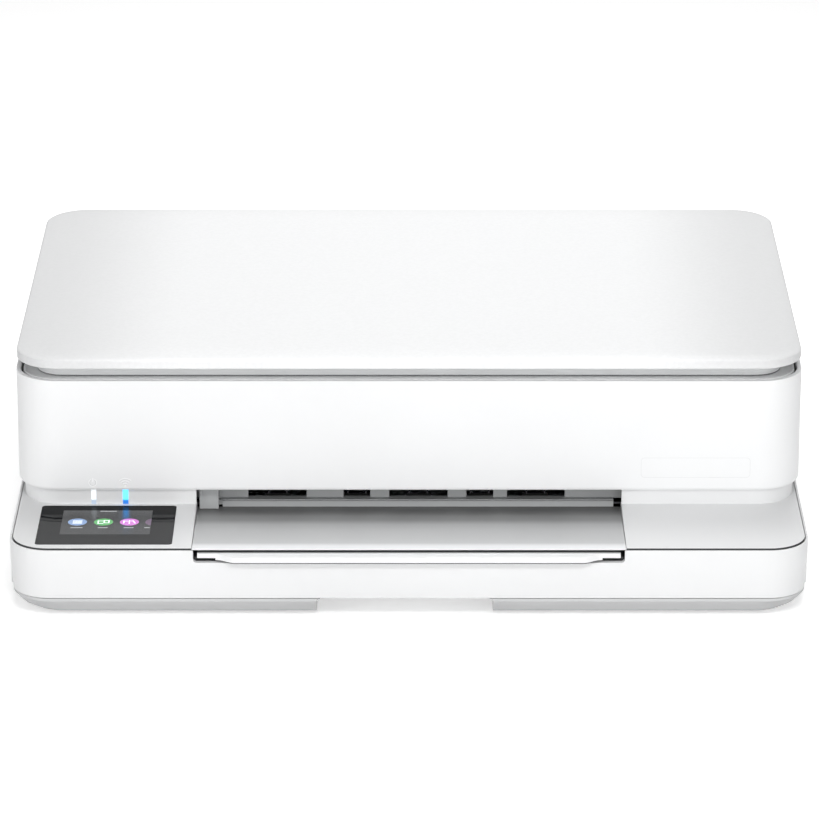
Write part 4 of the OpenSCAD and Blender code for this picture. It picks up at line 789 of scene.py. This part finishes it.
def make_shell_marks():
    """Power and wireless signs, brighter than the shell as a painted highlight on their raised lines, each
    with a thin painted shadow inside its lines, and the outline of a bare plate.
    """
    power = [band(POWER_X, POWER_Z, 2.1, 0.45, 118, 422)]
    power += stroke([(POWER_X, POWER_Z + 0.6), (POWER_X, POWER_Z + 2.4)], 0.45)
    wireless = [band(WIRELESS_X, WIRELESS_Z, r, 0.5, 45, 135) for r in (1.6, 3.0, 4.4)]
    wireless += [circle_outline(WIRELESS_X, WIRELESS_Z + 0.1, 0.5, 16)]
    power_painted_shadow = [band(POWER_X, POWER_Z, 1.7, 0.35, 118, 422)]
    wireless_painted_shadow = [band(WIRELESS_X, WIRELESS_Z, r, 0.3, 45, 135) for r in (1.2, 2.6, 4.0)]
    plate = frame_outline(*(
        rounded_outline(PLATE_X, PLATE_Z, PLATE_W - 2 * inset, PLATE_H - 2 * inset, PLATE_R - inset)
        for inset in (0, PLATE_LINE)))
    # painted highlight: the raised lines of the signs are whiter than the shell
    painted_highlight = moulded("mark_painted_highlight", (0.97, 0.975, 0.98), 0.35, 0.3, 0.01)
    # painted shadow inside the lines of the raised signs
    shade = moulded("mark_painted_shadow", (0.68, 0.685, 0.69), 0.35, 0.3, 0.01)
    pale = moulded("plate_edge", (0.74, 0.745, 0.75), 0.3, 0.4, 0.01)
    for name, outlines, thick, material in (
            ("power_mark", power, 0.05, painted_highlight),
            ("power_painted_shadow", power_painted_shadow, 0.04, shade),
            ("wireless_mark", wireless, 0.05, painted_highlight),
            ("wireless_painted_shadow", wireless_painted_shadow, 0.04, shade),
            ("plate_outline", plate, 0.04, pale)):
        flat_piece(name, outlines, on_shell, thick, material, "scanner_housing")


# ---------------------------------------------------------------- screws under the base

SCREW_PLACES = ((-150, -60), (150, -60), (-150, 70), (150, 70), (0, 150), (0, -110))
SCREW_R = 3.2 * MM
SCREW_PROUD = 0.9 * MM    # how far a head stands out below the bottom case
SCREW_STEPS = 40


def screw_head(x, y, z, radius):
    """Screw head with a cross recess, facing down."""
    bm = bmesh.new()
    arm, half = radius * 0.62, radius * 0.17
    cross = [(arm, half), (half, half), (half, arm), (-half, arm), (-half, half), (-arm, half),
             (-arm, -half), (-half, -half), (-half, -arm), (half, -arm), (half, -half), (arm, -half)]
    face_radius = radius * 0.86
    rings = [[bm.verts.new((x + u, y + v, z + depth)) for u, v in circle_outline(0, 0, r, SCREW_STEPS)]
             for r, depth in ((face_radius, 0.0), (radius, 0.25 * radius), (radius, 0.7 * radius))]
    for first, second in zip(rings, rings[1:]):
        wall_between(bm, first, second)
    mouth = [bm.verts.new((x + u, y + v, z)) for u, v in cross]
    deep = [bm.verts.new((x + u * 0.8, y + v * 0.8, z + 0.5 * radius)) for u, v in cross]
    rim = circle_outline(0, 0, face_radius, SCREW_STEPS)
    loops = [[Vector((u, v, 0)) for u, v in loop] for loop in (rim, cross)]
    face_points = rings[0] + mouth
    for corners in tessellate_polygon(loops):
        bm.faces.new([face_points[i] for i in corners])
    wall_between(bm, mouth, deep)
    bm.faces.new(deep)
    return bm


def make_screws():
    made = Finish("screw_steel")
    steel = made.done(made.metal(SCREW_STEEL, 0.35))
    foot = low("bottom_case").z - SCREW_PROUD
    for i, (x, y) in enumerate(SCREW_PLACES, 1):
        add_piece("case_screw_%d" % i, screw_head(x * MM, y * MM, foot, SCREW_R), steel, "base")


# ---------------------------------------------------------------- the scene

bpy.context.scene.view_settings.view_transform = "Standard"
make_camera()
make_world()
make_floor()
make_lamps()
dress_all()
for node_name in SOFT_NODES:
    soften(node_name, 0.3 * MM)
soften("lid_cover", 0.4 * MM, 3)
make_display()
make_shell_marks()
make_screws()
